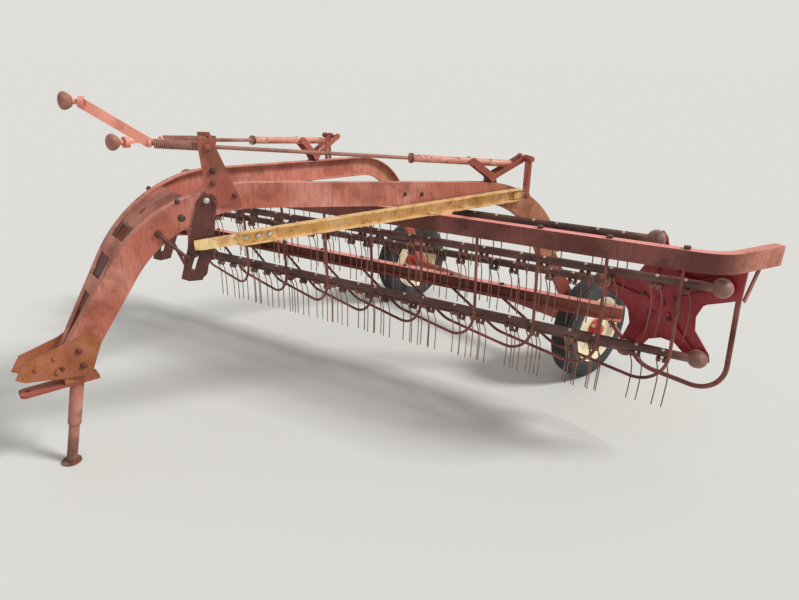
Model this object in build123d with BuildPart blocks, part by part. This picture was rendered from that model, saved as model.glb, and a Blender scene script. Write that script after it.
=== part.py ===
from build123d import *
import os
from math import sin, cos, tan, radians, hypot

# Rolling bar rake, parked on its stand. Millimetres. X runs forward to the hitch, Y to the left, Z up.
# The origin is under the stand's foot, on the ground.

os.makedirs("parts", exist_ok=True)

# Main beams: two arched channels, webs outward. Columns: side sign, Y of the web at BEAM_X0, slope of Y
BEAM_X0 = -100.0
BEAMS = {"left": (1, 60.0, 0.3357), "right": (-1, 60.0, 0.1929)}
BEAM_START = (-40.0, 575.0)
LOWER_ANGLE = 58.0
LOWER_RUN = 490.0
FRONT_RADIUS = 720.0
UPPER_DROP = 3.2
UPPER_RUN = 1150.0
TAIL_RADIUS = 520.0
TAIL_TURN = 63.8
TAIL_RUN = 130.0
BEAM_DEPTH = 120.0
FLANGE = 45.0
WALL = 6.0

# Tongue plate between the beams: X where it starts and ends, its thickness, hole and window
TONGUE_X = (-650.0, -170.0)
TONGUE_T = 8.0
TONGUE_HOLE = (-505.0, 20.0, 20.0)
TONGUE_WINDOW = (-425.0, -365.0, -30.0, 60.0)
CLEATS = ((-345.0, 52.0), (-235.0, 40.0))

# Hitch
HITCH_PLATE = ((148, 527), (105, 594), (40, 612), (-60, 640), (-175, 690), (-215, 640),
               (-150, 470), (-29, 476), (113, 504))
HITCH_T = 8.0
HITCH_BEND = -60.0
PIN_X = 107.0
PIN_R = 13.0
STRAP_Z = (421.0, 437.0)
STRAP_X = (-190.0, 143.0)
STRAP_W = 84.0

# Stand
STAND_LEAN = 12.9
STAND_R = 24.15
SLEEVE_R = 30.15
STAND_GAP = 0.1
SLEEVE_Z = (205.0, 421.0)
LEG_TOP = 268.0
FOOT_R = 45.0
FOOT_T = 8.0

# Wheels
AXLE_X = -2805.0
WHEEL_R = 325.0
TYRE_W = 150.0
RIM_R = 213.0
SPINDLE_R = 17.0
RUN_GAP = 0.05
AXLE_R = 30.0
WHEELS = {"left": (1, 1039.0), "right": (-1, -683.0)}

# Screw lifts on the uprights. Columns: X of the block, Z of the rod there, fall of the rod per mm of X,
# crank root X, tube from X, tube to X
LIFTS = {"left": (-746.0, 1497.0, 0.0959, -530.0, -1681.0, -2238.0),
         "right": (-945.0, 1470.0, 0.0859, -692.0, -1217.0, -1749.0)}
LIFT_IN = 24.0
ROD_R = 9.0
TUBE_R = 19.0
SPRING_R = 21.5
CRANK_LEAN = 260.0
CRANK_OUT = 150.0
CRANK_W = 42.0
CRANK_T = 10.0
KNOB_R = 34.0
CRANK_UP = {"left": 1, "right": 0}

# Lift levers. Columns: X and Z of the pivot, X and Z of the tube end, X and Z of the eye, Z of the strap's foot
LEVERS = {"left": (-2128.0, 1292.0, -2010.0, 1376.0, -2313.0, 1385.0, 1190.0),
          "right": (-1666.0, 1318.0, -1563.0, 1417.0, -1850.0, 1420.0, 1200.0)}
CHEEK_T = 8.0
CHEEK_GAP = 26.0
LEVER_W = 34.0
EYE_R = 9.0

# Basket hinge and arms. Columns: rear X, rear Z of the arm
HINGE = (-674.0, 1062.0)
HINGE_R = 10.0
ARMS = {"left": (-2275.0, 1194.0), "right": (-1812.0, 1200.0)}
ARM_FRONT = -840.0
ARM_DEPTH = 65.0
ARM_W = 38.0
ARM_OUT = 18.0

# Reel: hub of the rear head, heading of the bars from X, length between the heads
HUB = (-2365.5, 1645.7, 781.9)
BAR_ANGLE = 69.6
REEL_LENGTH = 3165.5
REEL_R = 315.0
BARS = 5
FIRST_BAR = 101.97
BAR_R = 21.0
DOME_R = 42.0
PIVOT_R = 12.0
HEAD_T = 10.0
HEAD_OFF = 28.0
TEETH = 18
TINE = 6.0
COIL_R = 15.0
COIL_L = 50.0
TOOTH_OUT = 21.2
TIP_OUT = 37.0

# Basket: spacing of the strippers along the bars, offset of its beams from the hub line, their tops
STRIPPERS = 9
SPACING = 327.7
FIRST_X = -2235.6
SIDE_OFF = 173.0
LOWER_OFF = 180.0
UPPER_TOP = 1117.5
LOWER_TOP = 658.5
SIDE_W = 50.0
UPPER_H = 92.0
LOWER_H = 80.0
SIDE_T = 5.0
CURVE_X = 110.5
LOWER_CURVE_X = 90.0
CURVE_R = 180.0
CURVE_TURN = 56.6
HOOP_R = 8.0
HOOP_Z = 427.0
END_HOOP_R = 12.0
END_OFF = 85.0

BX, BY = cos(radians(BAR_ANGLE)), -sin(radians(BAR_ANGLE))
FRONT = (HUB[0] + BX * REEL_LENGTH, HUB[1] + BY * REEL_LENGTH, HUB[2])
MIDDLE = ((HUB[0] + FRONT[0]) / 2, (HUB[1] + FRONT[1]) / 2)


def reel_y(x):
    """Y of the hub line at a given X."""
    return HUB[1] + BY / BX * (x - HUB[0])


def web_y(side, x, out=0.0):
    """Y of a main beam's outer web face at X, moved outboard by out."""
    sign, y0, slope = BEAMS[side]
    return sign * (y0 + slope * (BEAM_X0 - x) + out * hypot(1, slope))


def web_plane(side, out=0.0):
    """Upright plane along a main beam, Z up, and the sign that extrudes it outboard."""
    sign, y0, slope = BEAMS[side]
    n = hypot(1, slope)
    fwd = Vector(1 / n, -sign * slope / n, 0)
    outb = Vector(slope / n, sign / n, 0)
    at = Vector(BEAM_X0, sign * y0, 0) + outb * out
    return Plane(origin=at, x_dir=fwd, z_dir=outb * -sign), -sign


def along(side, x):
    """Distance along a main beam for a machine X."""
    return (x - BEAM_X0) * hypot(1, BEAMS[side][2])


def beam_point(side, x, z, out):
    """Point at machine X before it is moved square to the web by out."""
    sign, y0, slope = BEAMS[side]
    n = hypot(1, slope)
    return Vector(x + slope / n * out, web_y(side, x) + sign / n * out, z)


def beam_plate(side, points, out0, out1, mode=Mode.ADD):
    """Plate parallel to a main beam from machine (X, Z) points, between two outboard distances."""
    plane, sign = web_plane(side, out0)
    with BuildSketch(plane) as shape:
        Polygon(*[(along(side, x), z) for x, z in points], align=None)
    extrude(shape.sketch, amount=sign * (out1 - out0), mode=mode)


def beam_disc(side, x, z, r, out0, out1, mode=Mode.ADD):
    """Round boss, pin or hole square to a main beam."""
    plane, sign = web_plane(side, out0)
    with BuildSketch(plane) as shape:
        with Locations((along(side, x), z)):
            Circle(r)
    extrude(shape.sketch, amount=sign * (out1 - out0), mode=mode)


def rod(p, q, r, mode=Mode.ADD):
    """Round bar between two points."""
    p, q = Vector(*p), Vector(*q)
    with BuildSketch(Plane(origin=p, z_dir=q - p)) as shape:
        Circle(r)
    extrude(shape.sketch, amount=(q - p).length, mode=mode)


def flat(p, q, w, t, across, mode=Mode.ADD):
    """Flat bar between two points, w wide along the direction across."""
    p, q = Vector(*p), Vector(*q)
    with BuildSketch(Plane(origin=p, x_dir=Vector(*across), z_dir=q - p)) as shape:
        Rectangle(w, t)
    extrude(shape.sketch, amount=(q - p).length, mode=mode)


def hexes(points, axis, r, h):
    """Hexagon heads standing on a face."""
    for p in points:
        with BuildSketch(Plane(origin=p, z_dir=axis)) as shape:
            RegularPolygon(r, 6)
        extrude(shape.sketch, amount=h)


def strip(points, width):
    """Outline of a bent strip of even width through points."""
    left, right = [], []
    for i, (x, z) in enumerate(points):
        ax, az = points[max(i - 1, 0)]
        bx, bz = points[min(i + 1, len(points) - 1)]
        n = hypot(bx - ax, bz - az)
        dx, dz = (bx - ax) / n, (bz - az) / n
        left.append((x - dz * width / 2, z + dx * width / 2))
        right.append((x + dz * width / 2, z - dx * width / 2))
    return left + right[::-1]


def side_edge(inset):
    """Points and arcs of the main beams' profile, inset from the outer edge."""
    a = radians(180 - LOWER_ANGLE)
    sx, sz = BEAM_START[0] - sin(a) * inset, BEAM_START[1] + cos(a) * inset
    first = Line((sx, sz), (sx + cos(a) * LOWER_RUN, sz + sin(a) * LOWER_RUN))
    bend = JernArc(first @ 1, first % 1, FRONT_RADIUS - inset, LOWER_ANGLE + UPPER_DROP)
    top = Line(bend @ 1, bend @ 1 + (bend % 1) * UPPER_RUN)
    tail = JernArc(top @ 1, top % 1, TAIL_RADIUS - inset, TAIL_TURN)
    last = Line(tail @ 1, tail @ 1 + (tail % 1) * TAIL_RUN)
    return first @ 0, last @ 1


def arch(inset0, inset1, plan):
    """Slab of the arched profile between two insets, cut to a plan outline."""
    with BuildPart() as block:
        with BuildSketch(Plane.XZ):
            with BuildLine():
                a0, a1 = side_edge(inset0)
                b0, b1 = side_edge(inset1)
                Line(a0, b0)
                Line(a1, b1)
            make_face()
        extrude(amount=1400, both=True)
        with BuildSketch(Plane.XY):
            Polygon(*plan, align=None)
        extrude(amount=2000, mode=Mode.INTERSECT)
    return block.part


def beam_plan(side, in0, in1, x0=60.0, x1=-2750.0):
    """Plan outline of a slice of a main beam between two insets from its web."""
    return [(x0, web_y(side, x0, -in0)), (x1, web_y(side, x1, -in0)),
            (x1, web_y(side, x1, -in1)), (x0, web_y(side, x0, -in1))]


solid = {s: arch(0, BEAM_DEPTH, beam_plan(s, 0, FLANGE)) for s in BEAMS}
pocket = {s: arch(WALL, BEAM_DEPTH - WALL, beam_plan(s, WALL, FLANGE + 40)) for s in BEAMS}
tx0, tx1 = TONGUE_X
tongue = arch(WALL, WALL + TONGUE_T, [(tx1, web_y("left", tx1, -WALL)), (tx0, web_y("left", tx0, -WALL)),
                                      (tx0, web_y("right", tx0, -WALL)), (tx1, web_y("right", tx1, -WALL))])
cleat = [arch(0, WALL, [(x + w / 2, web_y("left", x + w / 2, -FLANGE)), (x - w / 2, web_y("left", x - w / 2, -FLANGE)),
                        (x - w / 2, web_y("right", x - w / 2, -FLANGE)),
                        (x + w / 2, web_y("right", x + w / 2, -FLANGE))]) for x, w in CLEATS]

# Main beams
with BuildPart() as main_beam_left:
    add(solid["left"])
    add(pocket["left"], mode=Mode.SUBTRACT)
    beam_disc("left", -612, 1191, 9, -20, 20, Mode.SUBTRACT)

with BuildPart() as main_beam_right:
    add(solid["right"])
    add(pocket["right"], mode=Mode.SUBTRACT)
    add(main_beam_left.part, mode=Mode.SUBTRACT)

# Tongue plate with its hole and window, and the cleats on it
with BuildPart() as tongue_plate:
    add(tongue)
    with BuildSketch(Plane.XY):
        with Locations((TONGUE_HOLE[0], TONGUE_HOLE[1])):
            Circle(TONGUE_HOLE[2])
        wx0, wx1, wy0, wy1 = TONGUE_WINDOW
        with Locations(((wx0 + wx1) / 2, (wy0 + wy1) / 2)):
            Rectangle(wx1 - wx0, wy1 - wy0)
    extrude(amount=2000, mode=Mode.SUBTRACT)

with BuildPart() as tongue_cleats:
    for piece in cleat:
        add(piece)

# Hitch plates: bent flats on the webs that come together at the drawbar
with BuildPart() as hitch_plates:
    with BuildSketch(Plane.XZ):
        Polygon(*HITCH_PLATE, align=None)
    extrude(amount=300, both=True)
    with BuildSketch(Plane.XY):
        for side in BEAMS:
            sign = BEAMS[side][0]
            yb = web_y(side, HITCH_BEND)
            Polygon((-260, web_y(side, -260)), (HITCH_BEND, yb), (160, yb), (160, yb + sign * HITCH_T),
                    (HITCH_BEND, yb + sign * HITCH_T), (-260, web_y(side, -260) + sign * HITCH_T), align=None)
    extrude(amount=900, mode=Mode.INTERSECT)
    for side in BEAMS:
        sign = BEAMS[side][0]
        face = web_y(side, HITCH_BEND) + sign * HITCH_T
        hexes([(x, face, z) for x, z in ((-20, 590), (60, 560), (-20, 520))], (0, sign, 0), 12, 10)

y_in = (web_y("right", HITCH_BEND), web_y("left", HITCH_BEND))
with BuildPart() as hitch_block:
    with BuildSketch(Plane.XY.offset(STRAP_Z[1])):
        with Locations((-85, (y_in[0] + y_in[1]) / 2)):
            Rectangle(90, y_in[1] - y_in[0])
    extrude(amount=80)
    add(solid["left"], mode=Mode.SUBTRACT)
    add(solid["right"], mode=Mode.SUBTRACT)
    add(hitch_plates.part, mode=Mode.SUBTRACT)

with BuildPart() as drawbar_strap:
    with BuildSketch(Plane.XY.offset(STRAP_Z[0])):
        with Locations(((STRAP_X[0] + STRAP_X[1]) / 2, 0)):
            Rectangle(STRAP_X[1] - STRAP_X[0], STRAP_W)
        with Locations((PIN_X, 0)):
            Circle(PIN_R, mode=Mode.SUBTRACT)
    extrude(amount=STRAP_Z[1] - STRAP_Z[0])
    fillet(drawbar_strap.edges().filter_by(Axis.Z).group_by(Axis.X)[-1], 26)

# Parking stand: the sleeve is fixed, the leg slides in it
lean = radians(STAND_LEAN)
axis_up = Vector(-sin(lean), 0, cos(lean))


def stand_point(z):
    """Point of the stand's centre line at a height."""
    return axis_up * (z / cos(lean))


with BuildPart() as stand_sleeve:
    rod(stand_point(SLEEVE_Z[0]), stand_point(SLEEVE_Z[1] + 40), SLEEVE_R)
    rod(stand_point(SLEEVE_Z[0] - 20), stand_point(SLEEVE_Z[1] + 80), STAND_R + STAND_GAP, Mode.SUBTRACT)
    with BuildSketch(Plane.XY.offset(STRAP_Z[0])):
        Rectangle(600, 300)
    extrude(amount=200, mode=Mode.SUBTRACT)

with BuildPart() as stand_leg:
    with BuildSketch(Plane.XY):
        Circle(FOOT_R)
    extrude(amount=FOOT_T)
    rod(stand_point(FOOT_T), stand_point(LEG_TOP), STAND_R)

# Axle with spindles, and the legs that carry the beams' tails
sl, sr = WHEELS["left"][1], WHEELS["right"][1]
with BuildPart() as axle_tube:
    rod((AXLE_X, sr + 88, WHEEL_R), (AXLE_X, sl - 88, WHEEL_R), AXLE_R)
    rod((AXLE_X, sr - 62, WHEEL_R), (AXLE_X, sl + 62, WHEEL_R), SPINDLE_R)

with BuildPart() as axle_legs:
    for side in BEAMS:
        beam_plate(side, strip([(-2498, 912), (-2548, 790), (AXLE_X, WHEEL_R)], 72), -WALL, -FLANGE + 3)
    add(axle_tube.part, mode=Mode.SUBTRACT)
    add(main_beam_left.part, mode=Mode.SUBTRACT)
    add(main_beam_right.part, mode=Mode.SUBTRACT)
    for side in BEAMS:
        beam_disc(side, -2535, 860, 11, 0, 9)


def ring(side, y, profile):
    """Solid of revolution about the axle from (radius, Y from the wheel's middle) pairs."""
    with BuildSketch(Plane(origin=(AXLE_X, y, WHEEL_R), x_dir=(1, 0, 0), z_dir=(0, 0, 1))) as shape:
        Polygon(*profile, align=None)
    revolve(shape.sketch, axis=Axis((AXLE_X, y, WHEEL_R), (0, 1, 0)))


H = TYRE_W / 2
TYRE = ((RIM_R - 12, -50), (RIM_R + 14, -H + 8), (RIM_R + 50, -H), (WHEEL_R - 28, -H + 6), (WHEEL_R - 7, -H + 22),
        (WHEEL_R, -24), (WHEEL_R, 24), (WHEEL_R - 7, H - 22), (WHEEL_R - 28, H - 6), (RIM_R + 50, H),
        (RIM_R + 14, H - 8), (RIM_R - 12, 50))
wheel_parts = {}
for side, (sign, y) in WHEELS.items():
    with BuildPart() as tyre:
        ring(side, y, TYRE)
    with BuildPart() as rim:
        ring(side, y, [(r, sign * v) for r, v in (
            (RIM_R, -66), (RIM_R, -60), (RIM_R - 12, -50), (RIM_R - 12, 50), (RIM_R, 60), (RIM_R, 66),
            (RIM_R - 18, 58), (RIM_R - 30, 30), (RIM_R - 60, 22), (90, 34), (46, 34), (46, 26), (88, 26),
            (RIM_R - 64, 12), (RIM_R - 36, 12), (RIM_R - 20, -48))])
    with BuildPart() as hub:
        ring(side, y, [(r, sign * v) for r, v in (
            (SPINDLE_R + RUN_GAP, -58), (40, -58), (44, -20), (46, 26), (46, 38), (62, 38), (62, 46), (40, 48),
            (34, 82), (22, 86), (0.5, 86), (0.5, 70), (SPINDLE_R + RUN_GAP, 70))])
        add(rim.part, mode=Mode.SUBTRACT)
    wheel_parts[side] = (tyre, rim, hub)
tyre_left, rim_left, hub_left = wheel_parts["left"]
tyre_right, rim_right, hub_right = wheel_parts["right"]


# Uprights and screw lifts
def rod_z(side, x):
    """Height of a screw rod's centre at X."""
    x0, z0, fall = LIFTS[side][:3]
    return z0 + fall * (x - x0)


def lift_point(side, x):
    """Point of a screw rod's centre line at X."""
    return beam_point(side, x, rod_z(side, x), -LIFT_IN)


def lift_plane(side, x):
    """Plane square to a screw rod at X, its z forward, its y close to up."""
    d = (lift_point(side, x) - lift_point(side, x - 500)).normalized()
    across = Vector(0, 0, 1).cross(d).normalized()
    return Plane(origin=lift_point(side, x), x_dir=across, z_dir=d)


UPRIGHTS = {"left": ((-705, 1542), (-768, 1534), (-862, 1262), (-868, 1224), (-748, 1238), (-722, 1290)),
            "right": ((-905, 1512), (-972, 1506), (-1050, 1250), (-1052, 1222), (-930, 1232), (-908, 1290))}
uprights, rods, springs, cranks, tubes = {}, {}, {}, {}, {}
for side in BEAMS:
    x0, z0, fall, xr, xt0, xt1 = LIFTS[side]
    with BuildPart() as upright:
        beam_plate(side, UPRIGHTS[side], 0, 10)
        with BuildSketch(lift_plane(side, x0 + 12)):
            Rectangle(44, 44)
        extrude(amount=-44)
        with BuildSketch(lift_plane(side, x0 + 60)):
            Circle(ROD_R)
        extrude(amount=-160, mode=Mode.SUBTRACT)
        beam_plate(side, [(x0 + 2, z0 - 15), (x0 - 34, z0 - 15), (x0 - 34, z0 + 20), (x0 + 2, z0 + 20)], -5, 0)
        with BuildSketch(lift_plane(side, x0 + 60)):
            Circle(ROD_R)
        extrude(amount=-160, mode=Mode.SUBTRACT)
        beam_disc(side, x0, z0, 13, 10, 19)
        for bx, bz in ((0, -105), (3, -160)):
            beam_disc(side, x0 + bx - 10, z0 + bz, 10, 10, 18)
    with BuildPart() as screw:
        with BuildSketch(lift_plane(side, xr)):
            Circle(ROD_R)
        extrude(amount=-(lift_point(side, xr) - lift_point(side, xt0 - 190)).length)
    with BuildPart() as spring:
        with BuildSketch(lift_plane(side, xr - 6)):
            Circle(SPRING_R)
            Circle(ROD_R, mode=Mode.SUBTRACT)
        extrude(amount=-(lift_point(side, xr - 6) - lift_point(side, x0 + 12)).length)
    with BuildPart() as crank:
        frame = lift_plane(side, xr)
        out = frame.y_dir if CRANK_UP[side] else frame.x_dir
        tip = frame.origin + frame.z_dir * CRANK_LEAN + out * CRANK_OUT
        arm_dir = (tip - frame.origin).normalized()
        cross = arm_dir.cross(frame.z_dir.cross(out))
        with BuildSketch(frame):
            Circle(17)
        extrude(amount=12)
        flat(frame.origin + frame.z_dir * 6, tip + frame.z_dir * 6, CRANK_W, CRANK_T, cross)
        with BuildSketch(Plane(origin=tip - frame.z_dir * 12, z_dir=frame.z_dir)):
            Circle(24)
        extrude(amount=22)
        with BuildSketch(Plane(origin=frame.origin - frame.z_dir * 6, z_dir=frame.z_dir)):
            Circle(ROD_R)
        extrude(amount=6, mode=Mode.SUBTRACT)
        with BuildSketch(Plane(origin=tip + frame.z_dir * 10, z_dir=frame.z_dir)):
            Circle(11)
        extrude(amount=34)
        with BuildSketch(Plane(origin=tip + frame.z_dir * 36, z_dir=frame.z_dir)):
            Circle(20)
        extrude(amount=26, taper=-28)
        with BuildSketch(Plane(origin=tip + frame.z_dir * 62, z_dir=frame.z_dir)):
            Circle(KNOB_R)
        extrude(amount=16, taper=42)
    with BuildPart() as tube:
        with BuildSketch(lift_plane(side, xt0)):
            Circle(TUBE_R)
        extrude(amount=-(lift_point(side, xt0) - lift_point(side, xt1)).length)
        with BuildSketch(lift_plane(side, xt0 + 4)):
            Circle(TUBE_R + 4)
        extrude(amount=-14)
        with BuildSketch(lift_plane(side, xt0 + 60)):
            Circle(ROD_R + RUN_GAP)
        extrude(amount=-320, mode=Mode.SUBTRACT)
    uprights[side], rods[side], springs[side], tubes[side] = upright, screw, spring, tube
    cranks[side] = crank

# Lift levers on the beams' tops, with their brackets and straps
brackets, levers, straps = {}, {}, {}
G0, G1 = CHEEK_GAP, CHEEK_GAP + CHEEK_T
for side in BEAMS:
    px, pz, ux, uz, ex, ez, foot = LEVERS[side]
    a = -LIFT_IN
    with BuildPart() as bracket:
        beam_plate(side, [(px + 45, pz - 80), (px + 22, pz + 16), (px - 22, pz + 16), (px - 45, pz - 80)],
                   a - 14, a + 14)
        add(solid[side], mode=Mode.SUBTRACT)
        beam_disc(side, px, pz, EYE_R + RUN_GAP, a - 20, a + 20, Mode.SUBTRACT)
    with BuildPart() as lever:
        for lo, hi in ((a - G1, a - G0), (a + G0, a + G1)):
            beam_plate(side, strip([(ux + 6, uz + 8), (px + 4, pz + 2)], LEVER_W), lo, hi)
            beam_plate(side, strip([(px - 2, pz - 2), (ex, ez)], LEVER_W - 6), lo, hi)
            beam_disc(side, px, pz, 24, lo, hi)
            beam_disc(side, ux, uz, 20, lo, hi)
            beam_disc(side, ex, ez, 18, lo, hi)
        beam_disc(side, px, pz, EYE_R, a - G1, a + G1)
        beam_disc(side, ex, ez, EYE_R, a - G1, 66)
        beam_disc(side, ex, ez, 15, 66, 72)
    with BuildPart() as strap:
        for lo, hi in ((18, 26), (50, 58)):
            beam_plate(side, [(ex + 9, ez), (ex - 9, ez), (ex - 9, foot - 22), (ex + 9, foot - 22)], lo, hi)
            beam_disc(side, ex, ez, 17, lo, hi)
            beam_disc(side, ex, foot, 15, lo, hi)
            beam_disc(side, ex, ez, EYE_R + RUN_GAP, lo - 1, hi + 1, Mode.SUBTRACT)
        beam_disc(side, ex, foot - 2, 10, 58, 65)
        beam_disc(side, ex, foot + 60, 5, 26, 50)
    brackets[side], levers[side], straps[side] = bracket, lever, strap


# Basket
def side_path(sign):
    """Centre line of a basket beam in plan: the upper one (1) or the lower one (-1), turned about the reel."""
    xs = HUB[0] + (CURVE_X if sign > 0 else LOWER_CURVE_X)
    ys = reel_y(xs) + (SIDE_OFF if sign > 0 else LOWER_OFF) / BX
    x_end = 2 * MIDDLE[0] - (HUB[0] - END_OFF - 22)
    run = (x_end - xs) / BX
    p = [(xs + BX * run, ys + BY * run), (xs, ys)]
    if sign < 0:
        p = [(2 * MIDDLE[0] - x, 2 * MIDDLE[1] - y) for x, y in p]
    return p


def beam_side(sign, top, height, tail):
    """Channel of a basket beam swept along its path, web on the outer side."""
    p = side_path(sign)
    with BuildLine(Plane.XY.offset(top - height / 2)) as line:
        straight = Line(p[0], p[1])
        bend = JernArc(straight @ 1, straight % 1, CURVE_R, CURVE_TURN)
        Line(bend @ 1, bend @ 1 + (bend % 1) * tail)
    start = Plane(origin=(p[0][0], p[0][1], top - height / 2), x_dir=(0, 0, 1), z_dir=(-BX * sign, -BY * sign, 0))
    out = 1 if start.y_dir.X * sign > 0 else -1
    with BuildSketch(start) as shape:
        Rectangle(height, SIDE_W)
        with Locations((0, -out * SIDE_T)):
            Rectangle(height - 2 * SIDE_T, SIDE_W, mode=Mode.SUBTRACT)
    sweep(shape.sketch, path=line.line)


with BuildPart() as upper_beam:
    beam_side(1, UPPER_TOP, UPPER_H, 270)

with BuildPart() as lower_beam:
    beam_side(-1, LOWER_TOP, LOWER_H, 120)

stripper_x = [FIRST_X + k * SPACING * BX for k in range(STRIPPERS)]
dy = SIDE_OFF / BX


def lower_y(x):
    """Y of the lower beam's centre line at X, also on its bend and its end."""
    xs = 2 * MIDDLE[0] - HUB[0] - LOWER_CURVE_X
    y = reel_y(min(x, xs)) - LOWER_OFF / BX
    if x > xs:
        end = radians(CURVE_TURN - BAR_ANGLE)
        turn = min(BY + (x - xs) / CURVE_R, sin(end))
        y -= CURVE_R * ((1 - turn ** 2) ** 0.5 - BX)
        y += tan(end) * (x - xs - CURVE_R * (turn - BY))
    return y


def hoop(x, points, r, bend):
    """Round bar bent in a plane square to X from (Y, Z) points."""
    with BuildLine(Plane(origin=(x, 0, 0), x_dir=(0, 1, 0), z_dir=(1, 0, 0))) as line:
        FilletPolyline(*points, radius=bend)
    with BuildSketch(Plane(origin=line.line @ 0, z_dir=line.line % 0)) as shape:
        Circle(r)
    sweep(shape.sketch, path=line.line)


with BuildPart() as strippers:
    for x in stripper_x:
        yc = reel_y(x)
        hoop(x, [(yc + dy + 2, UPPER_TOP - UPPER_H + 2), (yc + dy + 22, HOOP_Z), (yc - 125, HOOP_Z),
                 (lower_y(x) + 15, LOWER_TOP - LOWER_H - 3)], HOOP_R, 180)
    for beam in (upper_beam, lower_beam):
        add(beam.part, mode=Mode.SUBTRACT)



def seat_x(side):
    """X at which an arm crosses the basket's upper beam."""
    lo, hi = -2300.0, -1000.0
    for _ in range(60):
        mid = (lo + hi) / 2
        left_of = reel_y(mid) + dy > web_y(side, mid, ARM_OUT + ARM_W / 2)
        lo, hi = (mid, hi) if left_of else (lo, mid)
    return lo


with BuildPart() as stripper_bolts:
    for x in stripper_x:
        yc = reel_y(x)
        if min(abs(x - seat_x(side)) for side in BEAMS) > 85:
            hexes([(x, yc + dy, UPPER_TOP)], (0, 0, 1), 15, 14)
        hexes([(x, lower_y(x), LOWER_TOP)], (0, 0, 1), 12, 10)

rx, fx = HUB[0] - END_OFF, FRONT[0] + END_OFF
with BuildPart() as end_hoops:
    hoop(rx, [(1962, UPPER_TOP - UPPER_H + 3), (1996, 394), (1590, 390),
              (lower_y(rx) + 10, LOWER_TOP - LOWER_H - 6)], END_HOOP_R, 150)
    hoop(fx, [(reel_y(fx) + dy, UPPER_TOP - UPPER_H + 3), (reel_y(fx) + dy + 55, 410), (FRONT[1] - 120, 400),
              (lower_y(fx), LOWER_TOP - LOWER_H - 6)], END_HOOP_R, 150)
    flat((rx - 130, 1990, 1062), (rx, 1992, 880), 30, 8, (1, 0, 0.8))
    for beam in (upper_beam, lower_beam):
        add(beam.part, mode=Mode.SUBTRACT)


# Bearing plates that carry the heads, behind the stars
SUP_T = 12.0
rear_sup = [(1990, UPPER_TOP - UPPER_H), (1990, 890), (1790, 800), (HUB[1] + 55, 700), (HUB[1] - 55, 700),
            (HUB[1] - 75, 800), (HUB[1] - 40, 900), (1730, UPPER_TOP - UPPER_H - 20), (1880, UPPER_TOP - UPPER_H)]
f1 = FRONT[1]
foot_y = lower_y(FRONT[0] + HEAD_OFF + HEAD_T + 22)
front_sup = [(foot_y - 22, LOWER_TOP), (f1 - 130, 860), (f1 - 30, 872), (f1 + 70, 820), (f1 + 60, 720),
             (f1 - 40, 690), (f1 - 200, LOWER_TOP + 12), (foot_y + 22, LOWER_TOP)]


def star_points(turn):
    """Outline of a five-armed head with wide tips, as (Y, Z) from its hub."""
    points = []
    for i in range(BARS):
        a = turn + 360.0 * i / BARS
        for r, off in ((178, -36), (205, -17), (REEL_R + 10, -8), (REEL_R + TIP_OUT, -4.5), (REEL_R + TIP_OUT, 4.5),
                       (REEL_R + 10, 8), (205, 17)):
            points.append((r * cos(radians(a + off)), r * sin(radians(a + off))))
    return points


def yz(x):
    """Plane square to X, its x along Y, its y up, extruding forward."""
    return Plane(origin=(x, 0, 0), x_dir=(0, 1, 0), z_dir=(1, 0, 0))


supports, stars = [], []
for (hx, hy, hz), s, outline in ((HUB, -1, rear_sup), (FRONT, 1, front_sup)):
    face = hx + s * (HEAD_OFF + HEAD_T)
    with BuildPart() as support:
        with BuildSketch(yz(face + s * 16)):
            Polygon(*outline, align=None)
        extrude(amount=s * SUP_T)
        rod((face + s * 8, hy, hz), (face + s * 52, hy, hz), 52)
        rod((face, hy, hz), (face + s * 80, hy, hz), 20 + RUN_GAP, Mode.SUBTRACT)
    with BuildPart() as star:
        with BuildSketch(yz(hx + s * HEAD_OFF)):
            with Locations((hy, hz)):
                Polygon(*star_points(FIRST_BAR), align=None)
        extrude(amount=s * HEAD_T)
        rod((face, hy, hz), (face + s * 60, hy, hz), 20)
        for i in range(BARS):
            a = radians(FIRST_BAR + 360.0 * i / BARS)
            ty, tz = hy + REEL_R * cos(a), hz + REEL_R * sin(a)
            rod((hx + s * HEAD_OFF, ty, tz), (hx - s * 4, ty, tz), PIVOT_R)
            by, bz = hy + 70 * cos(a), hz + 70 * sin(a)
            hexes([(hx + s * HEAD_OFF, by, bz)], (-s, 0, 0), 12, 9)
            flat((hx + s * (HEAD_OFF - 9), hy + 110 * cos(a), hz + 110 * sin(a)),
                 (hx + s * (HEAD_OFF - 9), hy + 262 * cos(a), hz + 262 * sin(a)), 18, 8, (1, 0, 0))
    supports.append(support)
    stars.append(star)
head_support_rear, head_support_front = supports
star_rear, star_front = stars

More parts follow.
